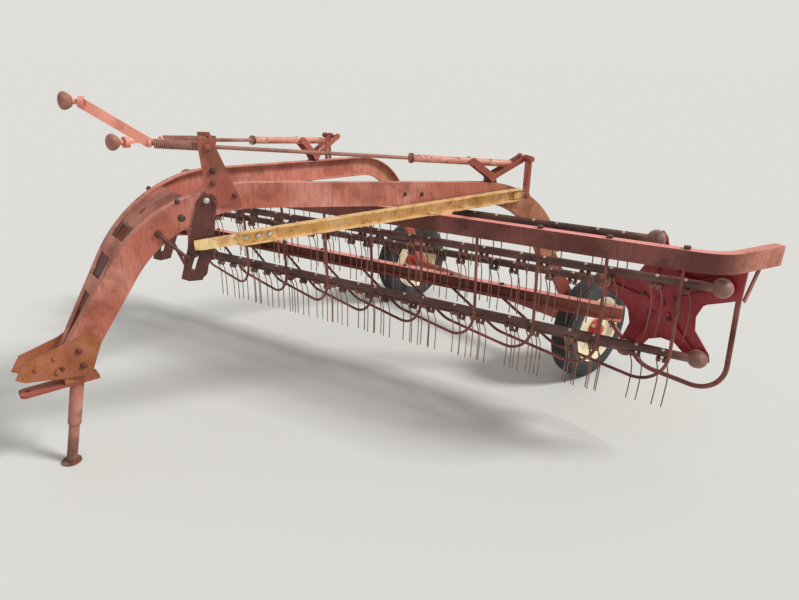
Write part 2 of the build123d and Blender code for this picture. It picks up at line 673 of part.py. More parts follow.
# Tooth bars with domed ends, and their double spring teeth
GAP_X = SPACING * BX
bars, tooth_rows = [], []
for i in range(BARS):
    a = radians(FIRST_BAR + 360.0 * i / BARS)
    ty, tz = REEL_R * cos(a), REEL_R * sin(a)
    start = (HUB[0], HUB[1] + ty, HUB[2] + tz)
    end = (FRONT[0], FRONT[1] + ty, FRONT[2] + tz)
    with BuildPart() as bar:
        rod(start, end, BAR_R)
        for (cx, cy, cz), s, gap in ((start, -1, RUN_GAP), (end, 1, 1.0)):
            with BuildSketch(Plane(origin=(cx, cy, cz), x_dir=(-s, 0, 0), z_dir=(0, 0, 1))):
                with BuildLine():
                    Polyline((0 + 0, DOME_R), (-22, DOME_R), (-22, 0), (34, 0), (34, 12))
                    Spline((34, 12), (24, 30), (0, DOME_R))
                make_face()
            revolve(axis=Axis((cx, cy, cz), (1, 0, 0)))
            rod((cx + s * 40, cy, cz), (cx - s * 8, cy, cz), PIVOT_R + gap, Mode.SUBTRACT)
    with BuildPart() as row:
        for k in range(TEETH):
            gap, half = divmod(k, 2)
            xm = FIRST_X + (gap - 0.5) * GAP_X + (2 * half - 1) * TOOTH_OUT
            yb, zb = reel_y(xm) + ty, HUB[2] + tz
            c0 = Vector(xm, yb, zb - BAR_R - COIL_R) - Vector(BX, BY, 0) * COIL_L / 2
            with BuildSketch(Plane(origin=c0, x_dir=(0, 0, 1), z_dir=(BX, BY, 0))):
                RegularPolygon(COIL_R, 8)
            extrude(amount=COIL_L)
            for off in (-8, 8):
                xt = xm + off
                y0 = reel_y(xt) + ty
                shape = strip([(y0, zb - BAR_R - COIL_R - 4), (y0 + 22, zb - 150), (y0 + 16, zb - 290)], TINE)
                with BuildSketch(yz(xt - TINE / 2)):
                    Polygon(*shape, align=None)
                extrude(amount=TINE)
        add(bar.part, mode=Mode.SUBTRACT)
    bars.append(bar)
    tooth_rows.append(row)

# Hangers under the beams, brackets and arms
hangers, arm_plates, arms = {}, {}, {}
hx, hz = HINGE
HANGER = ((hx - 88, 1268), (hx - 74, 1290), (hx - 30, 1290), (hx - 8, 1262), (hx + 96, 900), (hx + 64, 884),
          (hx + 8, 884), (hx - 52, 1010))
for side in BEAMS:
    sign = BEAMS[side][0]
    ax, az = ARMS[side]
    slope = (az - hz) / (hx - ax)
    with BuildPart() as hanger:
        beam_plate(side, HANGER, 0, 12)
        y = web_y(side, hx)
        with BuildSketch(Plane(origin=(0, y - sign * 60, 0), x_dir=(1, 0, 0), z_dir=(0, -1, 0))):
            with Locations((hx, hz)):
                Circle(HINGE_R + RUN_GAP)
            Polygon((hx - HINGE_R - RUN_GAP, hz), (hx + HINGE_R + RUN_GAP, hz), (hx + 58, 930), (hx + 38, 930),
                    align=None)
        extrude(amount=-sign * 160, mode=Mode.SUBTRACT)
        beam_disc(side, hx - 45, 1262, 12, 12, 22)
        add(uprights[side].part, mode=Mode.SUBTRACT)
    with BuildPart() as arm_plate:
        tilt = [(hx + 26, hz + 20), (hx + 26, hz - 22), (hx - 10, hz - 25)]
        z1 = hz + slope * 330
        beam_plate(side, tilt + [(hx - 330, z1 - 25), (hx - 330, z1 + 25), (hx - 10, hz + 25)],
                   ARM_OUT + WALL, ARM_OUT + 18)
        y0, y1 = web_y(side, hx, -14), web_y(side, hx, ARM_OUT + 12)
        rod((hx, y0, hz), (hx, y1, hz), HINGE_R)
        for far in (250, 300):
            beam_disc(side, hx - far, hz + slope * far, 12, ARM_OUT + 18, ARM_OUT + 27)
    with BuildPart() as arm:
        p, q = beam_point(side, ARM_FRONT, 0, ARM_OUT), beam_point(side, ax, 0, ARM_OUT)
        za, zb = hz + slope * (hx - ARM_FRONT), az
        half = ARM_DEPTH / 2
        whole = [(ARM_FRONT, za - half), (ax, zb - half), (ax, zb + half), (ARM_FRONT, za + half)]
        beam_plate(side, whole, ARM_OUT, ARM_OUT + ARM_W)
        inner = [(ARM_FRONT + 5, za - half + WALL), (ax - 5, zb - half + WALL), (ax - 5, zb + half - WALL),
                 (ARM_FRONT + 5, za + half - WALL)]
        beam_plate(side, inner, ARM_OUT + WALL, ARM_OUT + ARM_W + 5, Mode.SUBTRACT)
        ex, foot = LEVERS[side][4], LEVERS[side][6]
        beam_plate(side, [(ax + 30, foot + 16), (ax + 30, foot - 16), (ex - 14, foot - 10), (ex - 14, foot + 10)],
                   ARM_OUT + 13, ARM_OUT + 25)
        beam_plate(side, [(ax + 32, foot + 20), (ax + 32, foot - 20), (ax + 6, foot - 20), (ax + 6, foot + 20)],
                   ARM_OUT + 4, ARM_OUT + 25)
        # Seat of the arm on the basket's upper beam
        lo = seat_x(side)
        zc = hz + slope * (hx - lo) - half
        beam_plate(side, [(lo + 62, zc + WALL), (lo + 62, UPPER_TOP), (lo - 62, UPPER_TOP), (lo - 62, zc + WALL)],
                   ARM_OUT, ARM_OUT + ARM_W)
        add(upper_beam.part, mode=Mode.SUBTRACT)
    with BuildPart() as cut:
        add(arm_plate.part)
        add(arm.part, mode=Mode.SUBTRACT)
    hangers[side], arm_plates[side], arms[side] = hanger, cut, arm

nodes = {
    "main_beam_left": main_beam_left, "main_beam_right": main_beam_right, "tongue_plate": tongue_plate,
    "tongue_cleats": tongue_cleats, "hitch_plates": hitch_plates, "hitch_block": hitch_block,
    "drawbar_strap": drawbar_strap, "stand_sleeve": stand_sleeve,
    "stand_leg": stand_leg, "axle_tube": axle_tube, "axle_legs": axle_legs,
    "tyre_left": tyre_left, "rim_left": rim_left, "hub_left": hub_left,
    "tyre_right": tyre_right, "rim_right": rim_right, "hub_right": hub_right,
    "upper_beam": upper_beam, "lower_beam": lower_beam, "strippers": strippers, "stripper_bolts": stripper_bolts,
    "end_hoops": end_hoops,
    "head_support_rear": head_support_rear, "head_support_front": head_support_front,
    "star_rear": star_rear, "star_front": star_front,
}
for side in BEAMS:
    nodes["upright_" + side] = uprights[side]
    nodes["screw_rod_" + side] = rods[side]
    nodes["spring_" + side] = springs[side]
    nodes["crank_" + side] = cranks[side]
    nodes["lift_tube_" + side] = tubes[side]
    nodes["lever_bracket_" + side] = brackets[side]
    nodes["lift_lever_" + side] = levers[side]
    nodes["strap_" + side] = straps[side]
    nodes["hanger_" + side] = hangers[side]
    nodes["arm_bracket_" + side] = arm_plates[side]
    nodes["arm_" + side] = arms[side]
for i in range(BARS):
    nodes["tooth_bar_%d" % (i + 1)] = bars[i]
    nodes["teeth_%d" % (i + 1)] = tooth_rows[i]

for name, built in nodes.items():
    built.part.label = name
    export_step(built.part, "parts/" + name + ".step")
    print(name, len(built.part.solids()), round(built.part.volume / 1000, 1))
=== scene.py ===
"""Looks of a trailed rolling bar rake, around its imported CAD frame. Metres, X forward, Y left, Z up."""
import logging
from collections.abc import Sequence
from dataclasses import dataclass
from enum import Enum
from math import cos, hypot, pi, radians, sin

import bmesh
import bpy
from mathutils import Matrix, Vector

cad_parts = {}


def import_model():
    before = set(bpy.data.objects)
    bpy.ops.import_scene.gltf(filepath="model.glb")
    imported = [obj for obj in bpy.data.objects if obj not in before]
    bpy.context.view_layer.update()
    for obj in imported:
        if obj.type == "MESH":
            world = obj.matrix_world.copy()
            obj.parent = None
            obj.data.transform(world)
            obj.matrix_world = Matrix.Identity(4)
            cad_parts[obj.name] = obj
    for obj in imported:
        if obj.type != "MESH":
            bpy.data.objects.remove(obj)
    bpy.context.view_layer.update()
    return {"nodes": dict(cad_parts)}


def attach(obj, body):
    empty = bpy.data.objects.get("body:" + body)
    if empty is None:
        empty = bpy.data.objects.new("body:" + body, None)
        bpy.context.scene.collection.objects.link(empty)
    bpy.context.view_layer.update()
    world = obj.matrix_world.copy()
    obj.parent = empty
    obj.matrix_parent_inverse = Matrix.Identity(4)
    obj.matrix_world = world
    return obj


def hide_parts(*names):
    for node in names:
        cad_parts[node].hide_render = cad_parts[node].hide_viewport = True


LOG = logging.getLogger("rake")

Mesh, Piece = bpy.types.Mesh, bpy.types.Object
Node, Tree = bpy.types.Node, bpy.types.NodeTree
Socket, Outputs = bpy.types.NodeSocket, bpy.types.NodeOutputs
Pair, Triple, Colour = tuple[float, float], tuple[float, float, float], tuple[float, ...]
# Values and sockets for a node's inputs, by name or number
Settings, Links = dict[str | int, object], dict[str | int, Socket]

# X and Z of the basket's hinge pins
HINGE = (-0.674, 1.062)
# X and Z of the pins that hold the screw lifts in their uprights
LIFT_PINS = {"left": (-0.746, 1.497), "right": (-0.945, 1.470)}


def linear(code: str) -> Colour:
    """Turn an sRGB hex colour into linear light.

    Args:
        code: Six hex digits after a number sign.

    Returns:
        Red, green, blue and an alpha of one.
    """
    parts = [int(code[i:i + 2], 16) / 255 for i in (1, 3, 5)]
    red, green, blue = (c / 12.92 if c <= 0.04045 else ((c + 0.055) / 1.055) ** 2.4 for c in parts)
    return red, green, blue, 1.0


def add_node(tree: Tree, kind: str, settings: Settings | None = None,
             links: Links | None = None) -> Node:
    """Add a node with its settings and links.

    Args:
        tree: Tree that gets the node.
        kind: The node's type name.
        settings: Attributes or input values by name or number.
        links: Sockets that feed its inputs, by name or number.

    Returns:
        The new node.
    """
    node = tree.nodes.new(kind)
    for key, value in (settings or {}).items():
        if isinstance(key, str) and hasattr(node, key):
            setattr(node, key, value)
        else:
            node.inputs[key].default_value = value
    for key, socket in (links or {}).items():
        tree.links.new(socket, node.inputs[key])
    return node


def noise(tree: Tree, place: Socket, size_mm: float, detail: float, rough: float) -> Socket:
    """Add noise.

    Args:
        tree: Tree that gets it.
        place: Socket with the place in metres.
        size_mm: Rough size of its lumps.
        detail: How many finer layers it has.
        rough: How strong those are.

    Returns:
        Its value, about 0.3 to 0.7.
    """
    settings = {"Scale": 1000.0 / size_mm, "Detail": detail, "Roughness": rough}
    return add_node(tree, "ShaderNodeTexNoise", settings, {"Vector": place}).outputs[0]


def ramp(tree: Tree, value: Socket, span: Pair, out: Pair = (0.0, 1.0)) -> Socket:
    """Add a clamped straight ramp.

    Args:
        tree: Tree that gets it.
        value: Socket that feeds it.
        span: Values at which it starts and ends.
        out: What it gives there.

    Returns:
        Its result.
    """
    settings = {1: span[0], 2: span[1], 3: out[0], 4: out[1]}
    return add_node(tree, "ShaderNodeMapRange", settings, {0: value}).outputs[0]


def combine(tree: Tree, kind: str, one: Socket, two: Socket) -> Socket:
    """Add one value worked out from two.

    Args:
        tree: Tree that gets the node.
        kind: The operation, such as ADD or MAXIMUM.
        one: First value.
        two: Second value.

    Returns:
        The result.
    """
    return add_node(tree, "ShaderNodeMath", {"operation": kind}, {0: one, 1: two}).outputs[0]


def mix(tree: Tree, share: Socket, one: Colour | Socket, two: Colour | Socket) -> Socket:
    """Add a mix of two colours.

    Args:
        tree: Tree that gets the node.
        share: Share of the second colour.
        one: First colour.
        two: Second colour.

    Returns:
        The mixed colour.
    """
    settings, links = {"data_type": "RGBA"}, {0: share}
    for key, value in ((6, one), (7, two)):
        (settings if isinstance(value, tuple) else links)[key] = value
    return add_node(tree, "ShaderNodeMix", settings, links).outputs[2]


@dataclass(frozen=True)
class Tail:
    """A turn to another colour along X: where it starts and ends, how far it goes, and the colour."""

    start: float
    stop: float
    share: float
    colour: str


@dataclass(frozen=True)
class Finish:
    """A weathered surface.

    Attributes:
        name: The real material.
        sound: Colour where it is whole.
        faded: Colour where the sun has bleached it.
        patch: Colour of the rust or dust on it.
        share: How much of it that covers.
        roughness: Roughness where it is whole.
        metallic: Share of metal that shows.
        top_fade: How far faces that look up are faded.
        bleach: How far the rest is faded in places.
        cover: How dense the rust is.
        streak: How dense its runs down the sides are.
        patch_mm: Rough size of its patches.
        speck_mm: Rough size of its specks.
        tail: Turn to another colour along X.
        mud: How dense the mud near the ground is.
    """

    name: str
    sound: str
    faded: str
    patch: str
    share: float
    roughness: float
    metallic: float = 0.0
    top_fade: float = 0.0
    bleach: float = 0.75
    cover: float = 0.8
    streak: float = 0.0
    patch_mm: float = 120.0
    speck_mm: float = 9.0
    tail: Tail | None = None
    mud: float = 0.0

    # Detail and roughness of each noise
    BROAD_NOISE, PATCH_NOISE, SPECK_NOISE, RUN_NOISE = (3.0, 0.5), (9.0, 0.66), (4.0, 0.6), (3.0, 0.6)
    # The broad noise that fades it: its size in patches, and the values over which it fades
    BROAD = 2.4
    FADE_SPAN = (0.42, 0.62)
    # Z of the normal over which a face counts as looking up
    TOP_SPAN = (0.35, 0.95)
    # Noise value at which rust starts with no share, and how far a full share lowers it
    PATCH_CUT = (0.66, 0.36)
    FLECK_CUT = (0.70, 0.22)
    FLECK_FULL = (0.80, 0.20)
    # Width of a patch's edge in noise value
    PATCH_EDGE = 0.15
    # Runs are noise drawn out along Z
    RUN_STRETCH = (1.0, 1.0, 0.09)
    RUN_MM = 11.0
    RUN_SPAN = (0.46, 0.70)
    # Rust between its specks: how dark it is, and the values over which it turns
    DEEP = 0.62
    DEEP_SPAN = (0.40, 0.62)
    RUST_ROUGHNESS = 0.88
    # Mud comes in below a height and breaks up with the patches
    MUD = "#54352A"
    MUD_HEIGHT = (0.28, 0.02)
    MUD_SPAN = (0.38, 0.52)
    MUD_LEAST = 0.35
    RELIEF = {"Strength": 0.32, "Distance": 0.0016}

    def material(self) -> bpy.types.Material:
        """Build the finish once and give it back after that.

        Returns:
            Its material.
        """
        found = bpy.data.materials.get(self.name)
        if found:
            return found
        made = bpy.data.materials.new(self.name)
        made.use_nodes = True
        tree = made.node_tree
        tree.nodes.clear()
        place = add_node(tree, "ShaderNodeTexCoord").outputs["Object"]
        axes = add_node(tree, "ShaderNodeSeparateXYZ", links={0: place}).outputs
        patches = noise(tree, place, self.patch_mm, *self.PATCH_NOISE)
        specks = noise(tree, place, self.speck_mm, *self.SPECK_NOISE)
        rust = self.rust(tree, place, patches, specks)
        deep = tuple(c * self.DEEP for c in linear(self.patch)[:3]) + (1.0,)
        rust_colour = mix(tree, ramp(tree, specks, self.DEEP_SPAN), deep, linear(self.patch))
        colour = mix(tree, rust, self.paint(tree, place, axes[0]), rust_colour)
        if self.mud:
            low = combine(tree, "MULTIPLY", ramp(tree, axes[2], self.MUD_HEIGHT, (0.0, self.mud)),
                          ramp(tree, patches, self.MUD_SPAN, (self.MUD_LEAST, 1.0)))
            colour = mix(tree, low, colour, linear(self.MUD))
        rough = ramp(tree, rust, (0.0, 1.0), (self.roughness, self.RUST_ROUGHNESS))
        height = combine(tree, "ADD", specks, patches)
        bump = add_node(tree, "ShaderNodeBump", self.RELIEF, {"Height": height})
        shader = add_node(tree, "ShaderNodeBsdfPrincipled", {"Metallic": self.metallic},
                          {"Base Color": colour, "Roughness": rough, "Normal": bump.outputs[0]})
        add_node(tree, "ShaderNodeOutputMaterial", links={0: shader.outputs[0]})
        return made

    def paint(self, tree: Tree, place: Socket, along: Socket) -> Socket:
        """Add the colour under the rust.

        Args:
            tree: The material's tree.
            place: Socket with the place in metres.
            along: The place's X.

        Returns:
            The colour.
        """
        broad = noise(tree, place, self.patch_mm * self.BROAD, *self.BROAD_NOISE)
        normal = add_node(tree, "ShaderNodeNewGeometry").outputs["Normal"]
        up = add_node(tree, "ShaderNodeSeparateXYZ", links={0: normal}).outputs[2]
        fade = combine(tree, "MAXIMUM", ramp(tree, broad, self.FADE_SPAN, (0.0, self.bleach)),
                       ramp(tree, up, self.TOP_SPAN, (0.0, self.top_fade)))
        colour = mix(tree, fade, linear(self.sound), linear(self.faded))
        if self.tail:
            turn = ramp(tree, along, (self.tail.start, self.tail.stop), (0.0, self.tail.share))
            colour = mix(tree, turn, colour, linear(self.tail.colour))
        return colour

    def rust(self, tree: Tree, place: Socket, patches: Socket, specks: Socket) -> Socket:
        """Add where rust covers the paint.

        Args:
            tree: The material's tree.
            place: Socket with the place in metres.
            patches: Noise of the patches.
            specks: Noise of the specks.

        Returns:
            How dense the rust is.
        """
        cut, fleck_cut, fleck_full = (start - lowered * self.share for start, lowered in
                                      (self.PATCH_CUT, self.FLECK_CUT, self.FLECK_FULL))
        dense = (0.0, self.cover)
        rust = combine(tree, "MAXIMUM", ramp(tree, patches, (cut, cut + self.PATCH_EDGE), dense),
                       ramp(tree, specks, (fleck_cut, fleck_full), dense))
        if self.streak:
            drawn = add_node(tree, "ShaderNodeVectorMath", {"operation": "MULTIPLY", 1: self.RUN_STRETCH},
                             {0: place})
            runs = noise(tree, drawn.outputs[0], self.RUN_MM, *self.RUN_NOISE)
            rust = combine(tree, "MAXIMUM", rust, ramp(tree, runs, self.RUN_SPAN, (0.0, self.streak)))
        return rust


class Finishes(Enum):
    """The rake's finishes, each named for what it is."""

    # Alkyd enamel gone chalky pink in the sun, with brown rust in patches and runs; its turn to a lighter
    # tan towards the rear end is painted light on the beams' ends
    BEAM = Finish("sun_faded_red_enamel_painted_lit_end", "#BA6855", "#DC9A88", "#8E4F38", 0.52, 0.62, top_fade=0.85,
                  cover=0.66, streak=0.6, tail=Tail(-1.95, -2.4, 0.8, "#BC8058"))
    # The same enamel in the trough between the beams, with painted shade: the whole plate a little
    # darker, and dark red-brown below its window standing in for the shade of a deep recess
    TROUGH_PAINTED_SHADE = Finish("trough_enamel_painted_shade", "#B06252", "#C07C6A", "#7C4636", 0.5, 0.62, cover=0.6,
                    tail=Tail(-0.44, -0.425, 0.9, "#4A2620"))
    # Enamel mostly gone from the hitch plates, so orange-brown scale shows
    HITCH = Finish("rusted_red_enamel", "#9C583E", "#B4724C", "#A0602F", 0.62, 0.74, patch_mm=80.0)
    # Enamel on the lift parts and axle, half rusted
    LIFT = Finish("worn_red_enamel", "#9C4A3C", "#B76552", "#80503A", 0.5, 0.6, top_fade=0.4, streak=0.4)
    # Enamel of the basket's beams: the dark red-brown at the sides is painted shade, and the light red on
    # top is partly sun-faded paint and partly a painted highlight
    BASKET = Finish("basket_enamel_painted_shade_and_highlight", "#662B23", "#EC9688", "#4C281F", 0.42, 0.5, top_fade=1.0,
                    bleach=0.16, cover=0.6, streak=0.35, tail=Tail(-2.27, -2.48, 0.85, "#CC8268"))
    # Enamel of the pressed heads, still a deep glossy red
    HEAD = Finish("deep_red_enamel", "#981C26", "#AC3C44", "#561B1D", 0.36, 0.34, cover=0.6, streak=0.3)
    # Drawn rod of the strippers, rust red with pink left where hay has not rubbed
    HOOP = Finish("rubbed_red_rod", "#733830", "#9E5A4E", "#56322A", 0.5, 0.5)
    # Steel tube of the tooth bars, dark brown from grease and dust, paler at its rear bells
    BAR = Finish("greased_brown_tube", "#54322C", "#745046", "#3E2824", 0.42, 0.5,
                 tail=Tail(-2.318, -2.336, 0.8, "#96695D"))
    # Machined steel rings of the bars' ends, pink where paint is left
    RING = Finish("worn_bright_ring", "#C08C7C", "#D6AC9E", "#7A4A3C", 0.3, 0.4)
    # Oil-tempered spring wire, browned
    WIRE = Finish("browned_spring_wire", "#7C5446", "#AC7C6A", "#543830", 0.42, 0.42, metallic=0.1)
    # Steel of the lifts' springs, rods and threads, dull pink-brown
    ROD = Finish("browned_lift_rod", "#A06C5C", "#B68270", "#704A3C", 0.45, 0.55, metallic=0.1)
    # Steel heads of the basket's and the heads' bolts, nearly black with rust
    NUT = Finish("dark_rusted_nut", "#4A2C28", "#5E3A34", "#38201C", 0.4, 0.5)
    # Steel plate of the hangers and brackets in the beams' shade, its dark red-brown painted shade there;
    # the plate bolts and the hanger brace get the same dark finish, the bolts as their own dark rust
    SHADE = Finish("dark_rust_and_painted_shade_plate", "#562923", "#713B31", "#3E231D", 0.5, 0.5, streak=0.5)
    # Zinc on bolts, gone grey but still bright
    BOLT = Finish("weathered_zinc", "#BCAAA0", "#CCC0B8", "#8C6A54", 0.3, 0.42, metallic=0.4)
    # Enamel of the flat crank arms, salmon after fading
    CRANK = Finish("salmon_faded_enamel", "#E08E7A", "#F2AE98", "#A86650", 0.36, 0.55, top_fade=0.3,
                   cover=0.7)
    # Pipe of the lifts, salmon gone dull with rust between
    TUBE = Finish("dulled_salmon_pipe", "#C47C68", "#E2A48E", "#7C4838", 0.5, 0.52, top_fade=0.75,
                  patch_mm=60.0)
    # Yellow enamel of the arms, rust coming through along the flanges
    ARM = Finish("chipped_yellow_enamel", "#EABC74", "#F6D8A4", "#B8743C", 0.5, 0.5, top_fade=0.5,
                 cover=0.7, streak=0.32, patch_mm=55.0)
    # Pipe of the stand, dull pink above and crusted with mud and rust at the foot
    STAND = Finish("dull_pink_pipe", "#AC6E60", "#C28676", "#84563F", 0.46, 0.65, streak=0.3, mud=1.0)
    # Cream enamel of the pressed wheel discs, with rust at the seams
    RIM = Finish("cream_enamel", "#DDD2AE", "#E8E0C8", "#A4845E", 0.3, 0.45)
    # Enamel of the wheel hubs, the brightest red on the rake
    HUB = Finish("bright_red_enamel", "#B82A28", "#C84840", "#6E2A22", 0.25, 0.4)
    # Vulcanised rubber, dusty grey-black
    RUBBER = Finish("dusty_rubber", "#272728", "#3E3E40", "#58534E", 0.3, 0.82, speck_mm=5.0)


@dataclass(frozen=True)
class Beam:
    """One main beam in plan: its side, its web's Y at the front, and how fast it spreads rearward."""

    side: float
    web_at: float
    spread: float
    front_x: float = -0.1

    def outward(self) -> Vector:
        """Unit vector square to the web, away from the rake."""
        n = hypot(1, self.spread)
        return Vector((self.spread / n, self.side / n, 0))

    def point(self, x: float, z: float, out: float) -> Vector:
        """Point on the outer web at X and Z, moved square to the web by out."""
        y = self.side * (self.web_at + self.spread * (self.front_x - x))
        return Vector((x, y, z)) + self.outward() * out


BEAMS = {"left": Beam(side=1, web_at=0.060, spread=0.3357),
         "right": Beam(side=-1, web_at=0.060, spread=0.1929)}


class Shop:
    """Makes meshes and shown pieces."""

    # Radius in metres below which a turned form's row is one point
    POINT = 1e-7

    @classmethod
    def turned(cls, profile: Sequence[Pair], steps: int = 32, ring: bool = False) -> Mesh:
        """Turn a profile about Z.

        Args:
            profile: Radius and height pairs; a radius of zero closes an end.
            steps: Number of faces round.
            ring: True joins the last point to the first.

        Returns:
            A closed mesh.
        """
        work = bmesh.new()
        rows = []
        for radius, height in profile:
            turns = [2 * pi * k / steps for k in range(1 if radius < cls.POINT else steps)]
            rows.append([work.verts.new((radius * cos(t), radius * sin(t), height)) for t in turns])
        pairs = list(zip(rows, rows[1:])) + ([(rows[-1], rows[0])] if ring else [])
        for low, high in pairs:
            for k in range(steps):
                corners = [low[k % len(low)], low[(k + 1) % len(low)], high[(k + 1) % len(high)],
                           high[k % len(high)]]
                corners = [v for i, v in enumerate(corners) if v not in corners[:i]]
                if len(corners) > 2:
                    work.faces.new(corners)
        if not ring:
            for row in (rows[0], rows[-1]):
                if len(row) > 1:
                    work.faces.new(row)
        bmesh.ops.recalc_face_normals(work, faces=work.faces)
        mesh = bpy.data.meshes.new("turned")
        work.to_mesh(mesh)
        work.free()
        return mesh

    @staticmethod
    def wire(points: Sequence[Vector], radius: float, closed: bool = False, sides: int = 1) -> Mesh:
        """Make a round wire along points.

        Args:
            points: Its centre line.
            radius: The wire's radius.
            closed: True joins the ends.
            sides: Bevel resolution; one gives six faces round.

        Returns:
            The wire's mesh with closed ends.
        """
        curve = bpy.data.curves.new("wire", "CURVE")
        curve.dimensions = "3D"
        curve.bevel_depth = radius
        curve.bevel_resolution = sides
        curve.use_fill_caps = not closed
        line = curve.splines.new("POLY")
        line.points.add(len(points) - 1)
        for slot, point in zip(line.points, points):
            slot.co = (*point, 1.0)
        line.use_cyclic_u = closed
        holder = bpy.data.objects.new("wire", curve)
        bpy.context.scene.collection.objects.link(holder)
        graph = bpy.context.evaluated_depsgraph_get()
        mesh = bpy.data.meshes.new_from_object(holder.evaluated_get(graph))
        bpy.data.objects.remove(holder)
        return mesh

    @staticmethod
    def joined(meshes: Sequence[Mesh]) -> Mesh:
        """Join meshes of the row frame into one.

        Args:
            meshes: What to join.

        Returns:
            One mesh.
        """
        work = bmesh.new()
        for mesh in meshes:
            work.from_mesh(mesh)
        made = bpy.data.meshes.new("joined")
        work.to_mesh(made)
        work.free()
        return made

    @staticmethod
    def upright(origin: Vector, axis: Vector, turn: float = 0.0) -> Matrix:
        """Matrix that stands a mesh's Z along an axis at an origin, after a turn about it in radians."""
        return (Matrix.Translation(origin) @ axis.to_track_quat("Z", "Y").to_matrix().to_4x4()
                @ Matrix.Rotation(turn, 4, "Z"))

    @staticmethod
    def show(name: str, mesh: Mesh, finish: Finishes, body: str, replaces: Sequence[str] = (),
             smooth: float = 35.0) -> None:
        """Show a mesh that is already in place.

        Args:
            name: The piece's name.
            mesh: Its mesh in the row frame.
            finish: What covers it.
            body: CAD body it rides on.
            replaces: CAD nodes it stands for.
            smooth: Largest angle in degrees shaded smooth.
        """
        mesh.materials.clear()
        mesh.materials.append(finish.value.material())
        mesh.shade_smooth()
        mesh.set_sharp_from_angle(angle=radians(smooth))
        piece = bpy.data.objects.new(name, mesh)
        bpy.context.scene.collection.objects.link(piece)
        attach(piece, body)
        if replaces:
            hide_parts(*replaces)
        LOG.info("%s: %d faces on %s", name, len(mesh.polygons), body)


class Repeat:
    """Geometry Nodes trees that set copies in rows or rings, or wind a coil."""

    def __init__(self) -> None:
        """Make the three trees."""
        self.row = self.copies("copies_in_a_row", ring=False)
        self.ring = self.copies("copies_in_a_ring", ring=True)
        self.coil = self.winding()

    @staticmethod
    def start(name: str, inputs: Sequence[tuple[str, str]]) -> tuple[Tree, Outputs]:
        """Make an empty tree with named inputs.

        Args:
            name: The tree's name.
            inputs: Name and socket type of each size it takes.

        Returns:
            The tree and the sockets of its input node.
        """
        tree = bpy.data.node_groups.new(name, "GeometryNodeTree")
        face = tree.interface
        shape, look = ("Geometry", "NodeSocketGeometry"), ("Material", "NodeSocketMaterial")
        for label, kind in (shape, *inputs, look):
            face.new_socket(label, in_out="INPUT", socket_type=kind)
        face.new_socket(shape[0], in_out="OUTPUT", socket_type=shape[1])
        return tree, tree.nodes.new("NodeGroupInput").outputs

    @staticmethod
    def end(tree: Tree, shape: Socket, given: Outputs) -> Tree:
        """Realize what a tree made, give it its material and put it out.

        Args:
            tree: The tree.
            shape: What it made.
            given: The sockets of its input node.

        Returns:
            The finished tree.
        """
        real = add_node(tree, "GeometryNodeRealizeInstances", links={0: shape})
        dressed = add_node(tree, "GeometryNodeSetMaterial",
                           links={"Geometry": real.outputs[0], "Material": given["Material"]})
        add_node(tree, "NodeGroupOutput", links={0: dressed.outputs[0]})
        return tree

    def copies(self, name: str, ring: bool) -> Tree:
        """Make a tree that sets Count copies a Step apart.

        Args:
            name: The tree's name.
            ring: True turns the copies evenly about Z as well.

        Returns:
            The tree.
        """
        tree, given = self.start(name, (("Count", "NodeSocketInt"), ("Step", "NodeSocketVector")))
        line = add_node(tree, "GeometryNodeMeshLine", {"mode": "OFFSET"},
                        {"Count": given["Count"], "Offset": given["Step"]})
        links = {"Points": line.outputs[0], "Instance": given["Geometry"]}
        if ring:
            index = add_node(tree, "GeometryNodeInputIndex").outputs[0]
            share = combine(tree, "DIVIDE", index, given["Count"])
            angle = add_node(tree, "ShaderNodeMath", {"operation": "MULTIPLY", 1: 2 * pi}, {0: share})
            turn = add_node(tree, "ShaderNodeCombineXYZ", links={2: angle.outputs[0]})
            links["Rotation"] = turn.outputs[0]
        placed = add_node(tree, "GeometryNodeInstanceOnPoints", links=links)
        return self.end(tree, placed.outputs[0], given)

    def winding(self) -> Tree:
        """Make a tree that winds Turns of a Wire at a Radius along Z to a Height.

        Returns:
            The tree.
        """
        tree, given = self.start("wound_wire", (
            ("Turns", "NodeSocketFloat"), ("Height", "NodeSocketFloat"), ("Radius", "NodeSocketFloat"),
            ("Wire", "NodeSocketFloat"), ("Steps", "NodeSocketInt"), ("Sides", "NodeSocketInt")))
        spiral = add_node(tree, "GeometryNodeCurveSpiral",
                          links={"Resolution": given["Steps"], "Rotations": given["Turns"],
                                 "Start Radius": given["Radius"], "End Radius": given["Radius"],
                                 "Height": given["Height"]})
        section = add_node(tree, "GeometryNodeCurvePrimitiveCircle",
                           links={"Resolution": given["Sides"], "Radius": given["Wire"]})
        tube = add_node(tree, "GeometryNodeCurveToMesh", {"Fill Caps": True},
                        {0: spiral.outputs[0], 1: section.outputs[0]})
        return self.end(tree, tube.outputs[0], given)

    @staticmethod
    def run(tree: Tree, base: Mesh | None, finish: Finishes, place: Matrix, **values: object) -> Mesh:
        """Run a tree and keep its result as a plain mesh.

        Args:
            tree: The tree.
            base: Mesh it copies, if it copies one.
            finish: Finish of the result.
            place: Where the result goes in the row frame.
            values: Input values by name.

        Returns:
            The mesh in the row frame.
        """
        source = bpy.data.objects.new("source", base or bpy.data.meshes.new("none"))
        bpy.context.scene.collection.objects.link(source)
        modifier = source.modifiers.new("repeat", "NODES")
        modifier.node_group = tree
        values["Material"] = finish.value.material()
        for item in tree.interface.items_tree:
            if item.item_type == "SOCKET" and item.in_out == "INPUT" and item.name in values:
                modifier[item.identifier] = values[item.name]
        graph = bpy.context.evaluated_depsgraph_get()
        mesh = bpy.data.meshes.new_from_object(source.evaluated_get(graph))
        source.modifiers.remove(modifier)
        bpy.data.objects.remove(source)
        mesh.transform(place)
        return mesh


